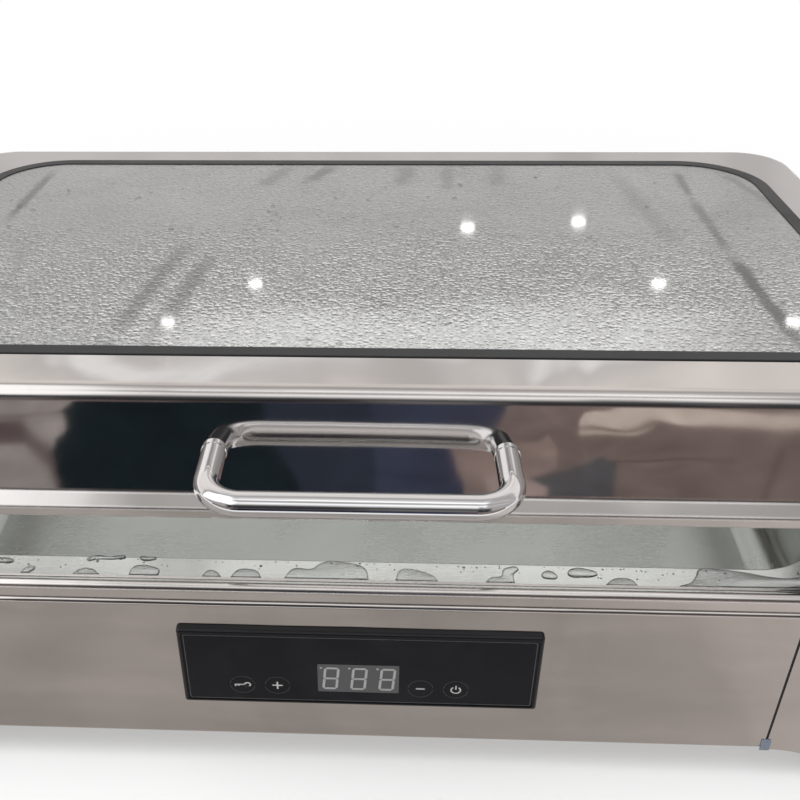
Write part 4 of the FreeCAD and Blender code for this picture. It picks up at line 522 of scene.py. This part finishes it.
FINISHES = {
    "casing_steel": polished("casing_sheet", (0.62, 0.59, 0.57), 0.05, 0.13, 8.0, 0.0035),
    "deck_steel": polished("deck_sheet", (0.72, 0.69, 0.67), 0.05, 0.12, 9.0, 0.0012, 1.2 * MM),
    "lid_steel": polished("lid_sheet", (0.69, 0.665, 0.65), 0.03, 0.09, 6.0, 0.0015, 1.6 * MM),
    "handle_chrome": polished("handle_plating", (0.82, 0.82, 0.83), 0.015, 0.05, 40.0, 0.0001),
    "pan_steel": pan_sheet(),
    "fixing_steel": brushed("fixing_steel", (0.66, 0.65, 0.64), 0.22, 0.36, (900, 900, 200),
                            0.00003),
    "aluminium": brushed("rolled_aluminium", (0.72, 0.72, 0.73), 0.26, 0.42, (60, 900, 900),
                         0.00004),
    "brass": brushed("turned_brass", (0.72, 0.55, 0.26), 0.2, 0.34, (800, 800, 200), 0.00003),
    "galvanised": zinc_plated(),
    "insulation": felt(),
    "lid_glass": clear_pane(),
    "panel_glass": cover_glass(),
    "board_green": circuit_board(),
    "black_rubber": moulded("soft_rubber", (0.022, 0.022, 0.023), 0.5, 0.7, 1400.0, 0.00008),
    "seal_rubber": moulded("seal_rubber", (0.02, 0.02, 0.021), 0.34, 0.5, 1500.0, 0.00005,
                           Specular_IOR_Level=0.3),
    "black_plastic": moulded("gloss_plastic", (0.008, 0.008, 0.01), 0.08, 0.2, 900.0, 0.00001,
                             Specular_IOR_Level=0.3),
    "dark_plastic": moulded("dark_plastic", (0.045, 0.045, 0.047), 0.4, 0.58, 1100.0, 0.00006),
    "grey_plastic": moulded("blue_grey_plastic", (0.2, 0.235, 0.3), 0.35, 0.55, 1200.0, 0.00005),
    "white_plastic": moulded("white_plastic", (0.72, 0.71, 0.68), 0.35, 0.5, 1200.0, 0.00005),
}

for part in frame["record"]["subparts"]:
    for socket in frame["nodes"][part["node"]].material_slots:
        socket.material = FINISHES[part["material_slot"]]


# ---------------- modelling helpers

# Edges sharper than this stay sharp; points nearer than this are one.
SHARP_EDGE = math.radians(40)
SAME_POINT = 1e-6


def start():
    """Leaves edit mode and selects nothing."""
    if bpy.context.object and bpy.context.object.mode != "OBJECT":
        bpy.ops.object.mode_set(mode="OBJECT")
    bpy.ops.object.select_all(action="DESELECT")


def add_object(name, data):
    """Puts a new object that holds a mesh, curve, camera or light into the scene."""
    piece = bpy.data.objects.new(name, data)
    bpy.context.collection.objects.link(piece)
    return piece


def pick_only(piece):
    start()
    piece.select_set(True)
    bpy.context.view_layer.objects.active = piece


def hand_over(piece, name, body, material, smooth=True):
    """Names and dresses a finished piece and says which body it rides."""
    piece.name = name
    piece.data.name = name
    piece.data.materials.clear()
    piece.data.materials.append(material)
    pick_only(piece)
    if smooth:
        bpy.ops.object.shade_smooth_by_angle(angle=SHARP_EDGE)
    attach(piece, body)


def flat_sheet(outlines, thickness, edge=0.0):
    """A flat sheet in XY with closed outlines, inner ones cutting holes; made a mesh at once.

    A flowing outline is rounded, apart from the straight stretch along its lowest side."""
    start()
    curve = bpy.data.curves.new("outline", "CURVE")
    curve.dimensions = "2D"
    curve.fill_mode = "BOTH"
    curve.extrude = thickness / 2 - edge
    curve.bevel_depth = edge
    curve.bevel_resolution = 2
    curve.offset = -edge
    for points, flowing in outlines:
        spline = curve.splines.new("BEZIER" if flowing else "POLY")
        if flowing:
            levels = [y for _, y in points]
            straight = levels.count(min(levels)) > 1
            spline.bezier_points.add(len(points) - 1)
            for point, (x, y) in zip(spline.bezier_points, points):
                point.co = (x, y, 0)
                bend = "VECTOR" if straight and y == min(levels) else "AUTO"
                point.handle_left_type = point.handle_right_type = bend
            spline.resolution_u = 5
        else:
            spline.points.add(len(points) - 1)
            for point, (x, y) in zip(spline.points, points):
                point.co = (x, y, 0, 1)
        spline.use_cyclic_u = True
    pick_only(add_object("outline", curve))
    bpy.ops.object.convert(target="MESH")
    piece = bpy.context.object
    bpy.ops.object.mode_set(mode="EDIT")
    bpy.ops.mesh.select_all(action="SELECT")
    bpy.ops.mesh.remove_doubles(threshold=SAME_POINT)
    bpy.ops.mesh.normals_make_consistent(inside=False)
    bpy.ops.object.mode_set(mode="OBJECT")
    return piece


def round_corners(half_x, half_y, radius, steps=10, centre=(0, 0)):
    """The outline of a rounded rectangle, counter-clockwise."""
    points = []
    for quarter, (sign_x, sign_y) in enumerate(((1, 1), (-1, 1), (-1, -1), (1, -1))):
        for step in range(steps + 1):
            angle = math.pi / 2 * (quarter + step / steps)
            points.append((centre[0] + sign_x * (half_x - radius) + radius * math.cos(angle),
                           centre[1] + sign_y * (half_y - radius) + radius * math.sin(angle)))
    return points


def circle(radius, centre=(0, 0), steps=36):
    return [(centre[0] + radius * math.cos(2 * math.pi * step / steps),
             centre[1] + radius * math.sin(2 * math.pi * step / steps)) for step in range(steps)]


def arc_band(radius, width, start_deg, end_deg, centre, steps=24):
    """A band along an arc, as one closed outline."""
    turns = [math.radians(start_deg + (end_deg - start_deg) * step / steps)
             for step in range(steps + 1)]
    band = []
    for reach, order in ((radius + width / 2, turns), (radius - width / 2, reversed(turns))):
        band += [(centre[0] + reach * math.cos(turn), centre[1] + reach * math.sin(turn))
                 for turn in order]
    return band


def bar(x, y, length, width, angle=0.0):
    """A bar about a point, with pointed ends."""
    half, thick = length / 2, width / 2
    shape = [(-half, 0), (-half + thick, thick), (half - thick, thick), (half, 0),
             (half - thick, -thick), (-half + thick, -thick)]
    cos, sin = math.cos(angle), math.sin(angle)
    return [(x + px * cos - py * sin, y + px * sin + py * cos) for px, py in shape]


# ---------------- touch panel print

PANEL_Z = (COVER_LOW.z + COVER_HIGH.z) / 2
STAND_UP = Matrix.Rotation(math.radians(90), 4, "X")
# How far the middle of the print lies above the cover glass's face, and its thickness.
INK_LIFT = 0.03 * MM
INK_DEPTH = 0.02 * MM


def on_panel(outlines, name, material, lift=INK_LIFT):
    """Prints flat outlines, in mm about the cover glass's centre, on its face."""
    scaled = [([(x * MM, y * MM) for x, y in points], False) for points in outlines]
    piece = flat_sheet(scaled, INK_DEPTH)
    piece.data.transform(Matrix.Translation((0, COVER_LOW.y - lift, PANEL_Z)) @ STAND_UP)
    hand_over(piece, name, "base", material, smooth=False)


def digit(x, y):
    """The seven bars of one digit and its dot, leaning as on a small LED block."""
    wide, high, thick, lean = 7.0, 16.2, 1.35, 0.08
    across, up = wide - 0.3, high / 2 - 0.3
    bars = [bar(0, level, across, thick) for level in (high / 2, 0, -high / 2)]
    for side in (-1, 1):
        for half in (-1, 1):
            bars.append(bar(side * wide / 2, half * high / 4, up, thick, math.pi / 2))
    placed = [[(x + px + lean * py, y + py) for px, py in shape] for shape in bars]
    return placed + [circle(0.7, (x - wide / 2 - 1.7, y + high / 2 + 0.2), 16)]


# The print in mm: keys and digits about the cover glass's centre, the border in from its edge.
KEYS = (-63.2, -44.2, 33.0, 52.0)
KEY_ROW = -13.4
RING_RADIUS, RING_LINE = 6.7, 0.28
RING_ARCS = ((6, 174), (186, 354))
DIGITS = (-15.1, 0.0, 15.1)
BORDER_OUTER, BORDER_INNER = 0.9, 1.3


def panel_print():
    """The window and digits of the display, the border rule, and the four key symbols."""
    pale = printed_ink("pale_ink", (0.52, 0.52, 0.51))
    grey = printed_ink("grey_ink", (0.055, 0.05, 0.05))
    rule = printed_ink("rule_ink", (0.07, 0.07, 0.07))
    smoke = printed_ink("display_window_tint", (0.085, 0.086, 0.09))
    lit = printed_ink("display_segments", (0.4, 0.405, 0.4))

    screen_z = ((SCREEN_LOW.z + SCREEN_HIGH.z) / 2 - PANEL_Z) / MM
    window = round_corners(21.8, 11.0, 0.5, 3, (-0.4, screen_z))
    on_panel([window], "display_window", smoke)
    bars = [shape for x in DIGITS for shape in digit(x, screen_z - 0.2)]
    on_panel(bars, "display_digits", lit, 2 * INK_LIFT)

    half_x = (COVER_HIGH.x - COVER_LOW.x) / 2 / MM
    half_z = (COVER_HIGH.z - COVER_LOW.z) / 2 / MM
    outlines = [round_corners(half_x - inset, half_z - inset, radius, 4)
                for inset, radius in ((BORDER_OUTER, 1.2), (BORDER_INNER, 1.0))]
    on_panel(outlines, "panel_border", rule)
    rings = [arc_band(RING_RADIUS, RING_LINE, *arc, (x, KEY_ROW))
             for x in KEYS for arc in RING_ARCS]
    on_panel(rings, "key_rings", grey)

    def beside(key, corners):
        return [(key + x, KEY_ROW + y) for x, y in corners]

    def symbol(outlines, name):
        on_panel(outlines, name, pale)

    lock, plus, minus, power = KEYS
    bow = (lock + 2.7, KEY_ROW)
    blade = beside(lock, (
        (0.75, 0.4), (-4.3, 0.4), (-4.3, -1.5), (-3.5, -1.5), (-3.5, -0.4), (-2.5, -0.4),
        (-2.5, -1.2), (-1.7, -1.2), (-1.7, -0.4), (0.75, -0.4)))
    symbol([circle(1.95, bow), circle(1.1, bow), blade], "lock_symbol")
    symbol([beside(plus, (
        (-2.8, -0.45), (-0.45, -0.45), (-0.45, -2.8), (0.45, -2.8), (0.45, -0.45), (2.8, -0.45),
        (2.8, 0.45), (0.45, 0.45), (0.45, 2.8), (-0.45, 2.8), (-0.45, 0.45), (-2.8, 0.45)))],
        "plus_symbol")
    symbol([bar(minus, KEY_ROW, 5.2, 0.9)], "minus_symbol")
    stroke = beside(power, ((-0.4, 0.2), (0.4, 0.2), (0.4, 3.2), (-0.4, 3.2)))
    symbol([arc_band(2.5, 0.8, 125, 415, (power, KEY_ROW - 0.3)), stroke], "power_symbol")


# ---------------- water on the pan's flange

# Puddle outlines in mm: x across, then how far back from 2 mm behind the flange's front edge.
PUDDLES = (
    ((-178, -1.6), (-176, 2.2), (-172.7, 3.4), (-171, 1.9), (-173.5, -1.6)),
    ((-150, -1.6), (-147, 1.9), (-142, 2.5), (-136, -1.6)),
    ((-120.5, -1.6), (-119.5, 3.6), (-115.4, 5.6), (-109.5, 4.7), (-105, 2.3), (-105, -1.6)),
    ((-82, -1.6), (-79, 2.7), (-75.5, 2.3), (-72, -1.6)),
    ((-67, -1.6), (-63.5, 3.6), (-58, 4.2), (-53.5, 2.8), (-51, -1.6)),
    ((-39, -1.6), (-34.5, 5.2), (-25, 5.3), (-21, 9.0), (-15.8, 11.2), (-7.8, 10.3), (0, 8.4),
     (3, 5.9), (4.8, -1.6)),
    ((18.5, -1.6), (21.5, 5.8), (27, 6.4), (33.5, 4.4), (38.5, 1.6), (40.5, -1.6)),
    ((65, -1.6), (68, 1.7), (73, 2.8), (74.5, 7.4), (76, 8.6), (82.5, 8.8), (79.8, 4.0),
     (79.8, -1.6)),
    ((94, 3.2), (97.5, 7.4), (101.2, 5.4), (101.9, 2.4), (98.4, 1.4)),
    ((107.5, 6.0), (111.8, 9.6), (117, 9.2), (122.9, 5.8), (121.5, 4.2), (114, 3.1), (108.8, 3.5)),
    ((126, -1.6), (131, 2.5), (135.7, 3.1), (139.5, 2.1), (142, -1.6)),
    ((163, -1.6), (169.4, 1.1), (173, 5.8), (175.5, 10.3), (186, 10.6), (198, 8.9), (209.7, 6.2),
     (219.4, 5.2), (227, 6.0), (232, 3.5), (226, -1.6), (200, -1.6)),
    ((-200, 6.5), (-194, 8.8), (-186, 8.4), (-184, 6.6), (-192, 5.4)),
    ((-145, 8.6), (-139, 9.2), (-129, 9.5), (-124.5, 11.2), (-133, 11.4), (-143, 11.2)),
    ((-116, 9.4), (-111, 9.0), (-108, 10.8), (-112, 11.6), (-117, 11.4)),
)
# How deep puddles are, how far they reach into the sheet, their round edge, the line behind the
# flange's edge where their outlines start, and how far small drops reach into the sheet.
PUDDLE_DEPTH = 0.57 * MM
PUDDLE_SUNK = 0.2 * MM
PUDDLE_EDGE = 0.27 * MM
PUDDLE_ORIGIN = 2 * MM
DROP_SUNK = 0.05 * MM


def puddles():
    """Flat puddles with rounded rims lying on the flange."""
    front = PAN_LOW.y + PUDDLE_ORIGIN
    outlines = [([(x * MM, front + y * MM) for x, y in puddle], True) for puddle in PUDDLES]
    piece = flat_sheet(outlines, PUDDLE_DEPTH, PUDDLE_EDGE)
    middle = PAN_HIGH.z + PUDDLE_DEPTH / 2 - PUDDLE_SUNK
    piece.data.transform(Matrix.Translation((0, 0, middle)))
    hand_over(piece, "flange_puddles", "base", FINISHES["water"])


def dome(radius, height, centre, rings=3, sides=10):
    """The vertices and faces of one low drop, closed below."""
    x, y, z = centre
    vertices, faces = [], []
    for ring in range(rings):
        tilt = math.pi / 2 * ring / rings
        across, up = radius * math.cos(tilt), height * math.sin(tilt)
        for side in range(sides):
            angle = 2 * math.pi * side / sides
            vertices.append((x + across * math.cos(angle), y + across * math.sin(angle), z + up))
    vertices.append((x, y, z + height))
    top, last = rings * sides, (rings - 1) * sides
    for low in range(0, last, sides):
        for side in range(sides):
            after = (side + 1) % sides
            faces.append((low + side, low + after, low + sides + after, low + sides + side))
    faces += [(last + side, last + (side + 1) % sides, top) for side in range(sides)]
    faces.append(tuple(reversed(range(sides))))
    return vertices, faces


def drops(places, name, body, material, turn=Matrix()):
    """Many low drops as one piece; places are (x, y, z, radius, height)."""
    vertices, faces = [], []
    for x, y, z, radius, height in places:
        points, loops = dome(radius, height, (x, y, z))
        faces += [tuple(index + len(vertices) for index in loop) for loop in loops]
        vertices += points
    mesh = bpy.data.meshes.new(name)
    mesh.from_pydata(vertices, [], faces)
    mesh.transform(turn)
    hand_over(add_object(name, mesh), name, body, material)


def flange_drops():
    """Small beads strung along the flange's inner edge and scattered over it."""
    rng = random.Random(11)
    inner_edge, last, half_length, steep = 11.2, 11.8, 235, 0.5
    places = []
    for _ in range(120):
        x = rng.uniform(-half_length, half_length)
        back = min(rng.choice((rng.gauss(inner_edge, 0.7), rng.uniform(3, 11))), last)
        radius = rng.uniform(0.25, 0.55) * (1.6 if rng.random() < 0.2 else 1)
        places.append((x * MM, PAN_LOW.y + back * MM, PAN_HIGH.z - DROP_SUNK, radius * MM,
                       radius * steep * MM))
    drops(places, "flange_drops", "base", FINISHES["water"])


# ---------------- steam on the lid's window

# How far the seal laps over the pane, the mist's corner, and how high beads start above the pane.
SEAL_BITE = 4.6 * MM
FILM_CORNER = 46 * MM
BEAD_LIFT = 0.07 * MM


def steam_film():
    """The mist on the pane, a very thin sheet inside the seal."""
    half_x = (PANE_HIGH.x - PANE_LOW.x) / 2 - SEAL_BITE
    half_y = (PANE_HIGH.y - PANE_LOW.y) / 2 - SEAL_BITE
    centre = ((PANE_HIGH.x + PANE_LOW.x) / 2, (PANE_HIGH.y + PANE_LOW.y) / 2)
    outline = round_corners(half_x, half_y, FILM_CORNER, 12, centre)
    piece = flat_sheet([(outline, False)], FILM_DEPTH)
    piece.data.transform(LID_TURN @ Matrix.Translation((0, 0, PANE_HIGH.z + FILM_LIFT)))
    hand_over(piece, "steam_film", "lid", steam_mist(), smooth=False)


def pane_drops():
    """Larger beads that have gathered on the pane, most of them near its front."""
    rng = random.Random(5)
    half_length, steep = 266, 0.62
    places = []
    for _ in range(330):
        x = rng.uniform(-half_length, half_length)
        y = rng.choice((rng.triangular(72, 150, 76), rng.uniform(80, 355), rng.uniform(220, 330)))
        radius = rng.choice((0.6, 0.7, 0.8, 1.0, 1.3, 1.9)) * rng.uniform(0.8, 1.1)
        places.append((x * MM, CASING_FRONT + y * MM, PANE_HIGH.z + BEAD_LIFT, radius * MM,
                       radius * steep * MM))
    drops(places, "pane_drops", "lid", bead_water(), LID_TURN)


FINISHES["water"] = clean_water()
panel_print()
puddles()
flange_drops()
steam_film()
pane_drops()


# ---------------- camera, floor and light

def camera():
    """A lens looking down at the open front edge of the lid."""
    data = bpy.data.cameras.new("camera")
    data.lens, data.sensor_width = 47.258, 36.0
    data.shift_x, data.shift_y = 0.08795, -0.0482
    data.clip_start, data.clip_end = 0.02, 60.0
    place = (0.009806, -0.596669, 0.535277)
    pitch, yaw, roll = math.radians(33.994), math.radians(-3.359), math.radians(-1.266)
    ahead = Vector((math.sin(yaw) * math.cos(pitch), math.cos(yaw) * math.cos(pitch),
                    -math.sin(pitch)))
    level = Vector((math.cos(yaw), -math.sin(yaw), 0))
    down = ahead.cross(level)
    right = level * math.cos(roll) - down * math.sin(roll)
    below = down * math.cos(roll) + level * math.sin(roll)
    turn = Matrix((right, -below, -ahead)).transposed()
    lens = add_object("camera", data)
    lens.matrix_world = Matrix.Translation(place) @ turn.to_4x4()
    bpy.context.scene.camera = lens


def stage_plane(name, corners, material):
    """A flat stage piece from its corners."""
    mesh = bpy.data.meshes.new(name)
    mesh.from_pydata([tuple(corner) for corner in corners], [], [tuple(range(len(corners)))])
    mesh.materials.append(material)
    plane = add_object(name, mesh)
    return plane


def only_in_reflections(plane):
    plane.visible_camera = False
    plane.visible_diffuse = False
    plane.visible_shadow = False
    plane.visible_transmission = False
    plane.visible_volume_scatter = False


def glow(name, colour, strength=1.0):
    """A plain shade that a card shows."""
    material = bpy.data.materials.new(name)
    tree = empty_tree(material)
    light = tree.add("ShaderNodeEmission", {"Color": shade(colour), "Strength": strength})
    tree.feed(tree.add("ShaderNodeOutputMaterial").inputs["Surface"], light.outputs[0])
    return material, tree, light


def sight(tree):
    """The light paths, and 1 where the room itself is seen, in a mirror or through glass too."""
    path = tree.add("ShaderNodeLightPath").outputs
    return path, tree.largest(path["Is Camera Ray"], path["Is Glossy Ray"],
                              path["Is Transmission Ray"])


def floor():
    """A pale floor that keeps the shadow close by and runs out to white."""
    material = bpy.data.materials.new("pale_floor")
    tree = empty_tree(material)
    matte = tree.add("ShaderNodeBsdfDiffuse", {"Color": (0.86, 0.86, 0.86, 1)})
    white = tree.add("ShaderNodeEmission", {"Color": (1, 1, 1, 1), "Strength": 1.0})
    _, seen = sight(tree)
    away = tree.vector("LENGTH", tree.vector("MULTIPLY", tree.place(), (1, 1.2, 0)))
    share = tree.times(seen, tree.span(away, 0.42, 1.1, 0.35, 1.0, True))
    both = tree.add("ShaderNodeMixShader", {0: share})
    tree.feed(both.inputs[1], matte.outputs[0])
    tree.feed(both.inputs[2], white.outputs[0])
    tree.feed(tree.add("ShaderNodeOutputMaterial").inputs["Surface"], both.outputs[0])
    half = 8
    stage_plane("floor", ((-half, -half, 0), (half, -half, 0), (half, half, 0), (-half, half, 0)),
                material)


def cloth_card():
    """A creased drab cloth in front of the casing, seen only in the steel."""
    material, tree, light = glow("drab_cloth", (0.6, 0.52, 0.48))
    place = tree.place()
    across = tree.parts(place)["X"]
    broad = tree.noise(tree.vector("MULTIPLY", place, (3.2, 1.6, 1)), 2.0, 3, 0.55, 1.2)
    creases = tree.noise(tree.vector("MULTIPLY", place, (2.0, 14.0, 1)), 2.2, 2, 0.5, 0.6)
    folds = tree.plus(tree.span(broad, 0.35, 0.65, 0.0, 0.25, True),
                      tree.span(creases, 0.4, 0.62, 0.0, 0.2))
    sides = tree.plus(tree.span(across, -0.4, -0.05, 0.26, -0.05),
                      tree.span(across, 0.08, 0.32, 0.0, 0.75))
    tree.feed(light.inputs["Color"], tree.mix(tree.plus(folds, sides), (0.36, 0.335, 0.31, 1),
                                              (0.64, 0.59, 0.565, 1)))
    half, near, far, level = 1.4, -0.62, 0.6, 0.001
    corners = ((-half, near, level), (half, near, level), (half, far, level), (-half, far, level))
    card = stage_plane("cloth_card", corners, material)
    only_in_reflections(card)


# Shapes of the room in front, nearest last: colour, then (x, z) corners in metres.
ROOM_BACK = -1.02
CARD_STEP = 0.001
ROOM_SHAPES = (
    ("wall", (0.2, 0.155, 0.143), (
        (-1.6, -0.2), (1.6, -0.2), (1.6, 0.3), (-1.6, 0.3))),
    ("left_board", (0.33, 0.3, 0.288), (
        (-1.4, -0.2), (-0.36, -0.2), (-0.36, 0.2), (-1.4, 0.2))),
    ("strut", (0.12, 0.09, 0.09), (
        (-0.6, 0.135), (-0.467, 0.132), (-0.454, 0.119), (-0.441, 0.107), (-0.418, 0.094),
        (-0.403, 0.074), (-0.391, 0.047), (-0.414, 0.041), (-0.428, 0.074), (-0.457, 0.103),
        (-0.6, 0.119))),
    ("shelf_line", (0.14, 0.11, 0.11), (
        (-0.9, 0.139), (-0.393, 0.139), (-0.393, 0.136), (-0.9, 0.136))),
    ("figure", (0.012, 0.019, 0.024), (
        (-0.414, 0.14), (-0.398, 0.153), (-0.371, 0.16), (-0.332, 0.19), (-0.21, 0.24),
        (0.05, 0.24), (0.05, -0.2), (-0.411, -0.2), (-0.411, 0.048), (-0.416, 0.068),
        (-0.423, 0.094), (-0.418, 0.11), (-0.408, 0.117), (-0.409, 0.127))),
    ("fold", (0.03, 0.037, 0.055), (
        (-0.16, 0.26), (0.02, 0.26), (0.02, -0.2), (-0.11, -0.2), (-0.1, 0.06), (-0.14, 0.12))),
    ("sleeve", (0.045, 0.052, 0.085), (
        (0.0, 0.26), (0.178, 0.26), (0.172, 0.16), (0.162, 0.141), (0.131, 0.115),
        (0.088, 0.114), (0.099, 0.098), (0.104, 0.085), (0.116, 0.073), (0.113, -0.2),
        (0.0, -0.2))),
    ("hand", (0.3, 0.225, 0.205), (
        (0.088, 0.114), (0.166, 0.117), (0.213, 0.122), (0.226, 0.132), (0.239, 0.116),
        (0.233, 0.091), (0.214, 0.081), (0.17, 0.07), (0.116, 0.072), (0.104, 0.085),
        (0.099, 0.098))),
    ("hem", (0.1, 0.1, 0.107), (
        (0.197, 0.075), (0.258, 0.094), (0.296, 0.108), (0.321, 0.095), (0.316, -0.05),
        (0.227, -0.05), (0.221, 0.065))),
    ("cuff", (0.36, 0.28, 0.26), (
        (0.144, 0.079), (0.163, 0.083), (0.202, 0.074), (0.221, 0.065), (0.223, 0.052),
        (0.164, 0.051), (0.148, 0.063))),
    ("counter", (0.62, 0.53, 0.47), (
        (0.264, 0.149), (0.27, 0.157), (0.288, 0.161), (0.351, 0.165), (1.6, 0.18),
        (1.6, 0.148), (0.476, 0.146), (0.414, 0.144), (0.304, 0.144), (0.264, 0.142))),
    ("ledge", (0.6, 0.52, 0.44), (
        (0.264, 0.139), (0.355, 0.14), (0.339, 0.136), (0.264, 0.134))),
    ("seam", (0.08, 0.065, 0.06), (
        (0.312, 0.1), (0.45, 0.103), (0.45, 0.101), (0.312, 0.098))),
    ("door_edge", (0.1, 0.075, 0.07), (
        (0.503, 0.12), (0.509, 0.12), (0.466, 0.0), (0.459, 0.0))),
)


def room_cards():
    """Flat shapes of a room and somebody in front of the steel, seen only in reflections."""
    for depth, (name, colour, corners) in enumerate(ROOM_SHAPES):
        material, tree, light = glow(name, colour)
        mottle = tree.noise(tree.vector("MULTIPLY", tree.place(), (1, 1, 2.5)), 9.0, 4, 0.6, 0.8)
        tree.feed(light.inputs["Color"], tree.mix(tree.span(mottle, 0.3, 0.7), shade(colour, 0.75),
                                                  shade(colour, 1.25)))
        back = ROOM_BACK + CARD_STEP * depth
        card = stage_plane(name, [(x, back, z) for x, z in corners], material)
        only_in_reflections(card)


# Where each ceiling light glints on the pane, in mm as in RUNS, then the way from there to it.
GLINTS = ((-109, 99, -0.2, 0.91, 0.37), (-62, 157, -0.12, 0.93, 0.34), (65, 245, 0.08, 0.95, 0.29),
          (138, 253, 0.18, 0.94, 0.28), (173, 161, 0.25, 0.91, 0.33), (232, 112, 0.36, 0.87, 0.35))
SPOT_AWAY, SPOT_HALF_WIDTH, SPOT_HALF_HEIGHT = 2.2, 0.019, 0.0075


def ceiling_spots():
    """Small bright ceiling lights, seen only as glints."""
    material, _, _ = glow("ceiling_spot", (1, 0.98, 0.95), 22.0)
    for x, y, *towards in GLINTS:
        glint = LID_TURN @ Vector((x * MM, CASING_FRONT + y * MM, PANE_HIGH.z))
        way = Vector(towards).normalized()
        centre = glint + way * SPOT_AWAY
        side = way.cross(Vector((0, 0, 1))).normalized() * SPOT_HALF_WIDTH
        up = way.cross(side).normalized() * SPOT_HALF_HEIGHT
        corners = [centre + side * across + up * along for across, along in circle(1.0, steps=16)]
        only_in_reflections(stage_plane("ceiling_spot", corners, material))


def lamp(name, place, size, power):
    """A soft light aimed at the warmer, unseen in reflections."""
    data = bpy.data.lights.new(name, "AREA")
    data.shape = "RECTANGLE"
    data.size, data.size_y = size
    data.energy = power
    light = add_object(name, data)
    light.location = place
    aim = Vector((0, 0, 0.1)) - Vector(place)
    light.rotation_euler = aim.to_track_quat("-Z", "Y").to_euler()
    light.visible_glossy = False
    light.visible_camera = False


# What bright metal sees of the room, by the angle up from the front and over to the rear: the
# share of that half turn, then the colour. Its lamps are brighter than white.
ROOM_BRIGHTEST = 1.5
ROOM_BANDS = (
    (0.0, (0.012, 0.012, 0.016)), (0.13, (0.06, 0.06, 0.065)), (0.17, (0.16, 0.16, 0.16)),
    (0.2, (0.38, 0.37, 0.37)), (0.23, (0.75, 0.75, 0.75)), (0.27, (1.2, 1.2, 1.2)),
    (0.31, (1.4, 1.4, 1.4)), (0.345, (0.5, 0.49, 0.48)), (0.4, (0.54, 0.53, 0.52)),
    (0.425, (1.5, 1.5, 1.5)), (0.46, (1.3, 1.3, 1.3)), (0.5, (0.85, 0.83, 0.82)),
    (0.57, (0.5, 0.48, 0.47)), (0.64, (0.52, 0.5, 0.49)), (0.69, (0.88, 0.84, 0.81)),
    (0.85, (0.93, 0.88, 0.845)), (0.868, (0.7, 0.68, 0.67)), (0.873, (1.2, 1.2, 1.2)),
    (0.878, (0.7, 0.68, 0.67)), (1.0, (0.7, 0.68, 0.67)),
)


def room_bands(tree):
    """The room's bands of light and shade: a window to the left, a plain wall to the right."""
    way = tree.add("ShaderNodeTexCoord").outputs["Generated"]
    across, ahead, up = tree.parts(way)
    turned = tree.sum("ARCTAN2", up, tree.times(ahead, -1.0))
    clutter = tree.noise(tree.vector("MULTIPLY", way, (1.6, 1, 1)), 2.4, 3, 0.5, 0.5)
    wobble = tree.span(clutter, 0.3, 0.7, -0.02, 0.02)
    share = tree.plus(tree.sum("DIVIDE", turned, math.pi), wobble)
    ramp = tree.add("ShaderNodeValToRGB", {"Fac": share})
    stops = ramp.color_ramp.elements
    for stop, (position, colour) in zip(stops, (ROOM_BANDS[0], ROOM_BANDS[-1])):
        stop.position, stop.color = position, shade(colour, 1 / ROOM_BRIGHTEST)
    for position, colour in ROOM_BANDS[1:-1]:
        stops.new(position).color = shade(colour, 1 / ROOM_BRIGHTEST)
    patches = tree.noise(tree.vector("MULTIPLY", way, (2.2, 1, 1)), 3.1, 2, 0.5, 0.3)
    seen = tree.mix(tree.span(patches, 0.52, 0.68, 0.0, 0.35, True), ramp.outputs["Color"],
                    (0.28, 0.27, 0.26, 1))
    upper = tree.times(tree.span(share, 0.17, 0.22, 0.0, 1.0, True),
                       tree.span(share, 0.56, 0.61, 1.0, 0.0, True))
    left = tree.times(upper, tree.span(across, -0.36, -0.2, 1.0, 0.0, True))
    right = tree.times(upper, tree.span(across, 0.28, 0.42, 0.0, 0.85, True))
    walled = tree.mix(right, tree.mix(left, seen, (1, 1, 1, 1)), (0.3, 0.29, 0.285, 1))
    beside = tree.span(tree.sum("ABSOLUTE", across), 0.45, 0.6, 0.0, 0.85, True)
    low = tree.times(beside, tree.span(share, 0.15, 0.25, 1.0, 0.0, True))
    return tree.mix(low, walled, (0.34, 0.325, 0.315, 1))


def room_light():
    """A white room, its bands of light and shade for bright metal, a softer white for lighting."""
    world = bpy.data.worlds.new("room")
    bpy.context.scene.world = world
    tree = empty_tree(world)
    path, seen = sight(tree)
    colour = tree.mix(path["Is Glossy Ray"], (1, 1, 1, 1), room_bands(tree))
    strength = tree.sum("MULTIPLY_ADD", path["Is Glossy Ray"], ROOM_BRIGHTEST - 1.0,
                        tree.span(seen, 0, 1, 0.45, 1.0))
    sky = tree.add("ShaderNodeBackground", {"Color": colour, "Strength": strength})
    tree.feed(tree.add("ShaderNodeOutputWorld").inputs["Surface"], sky.outputs[0])


camera()
floor()
cloth_card()
room_cards()
ceiling_spots()
lamp("overhead_lamp", (-0.3, -0.5, 2.2), (1.6, 1.2), 36)
lamp("left_lamp", (-1.9, -0.9, 1.3), (1.0, 1.0), 9)
lamp("rear_lamp", (0.7, 1.7, 1.6), (1.2, 1.0), 9)
room_light()

bpy.context.scene.view_settings.view_transform = "Standard"
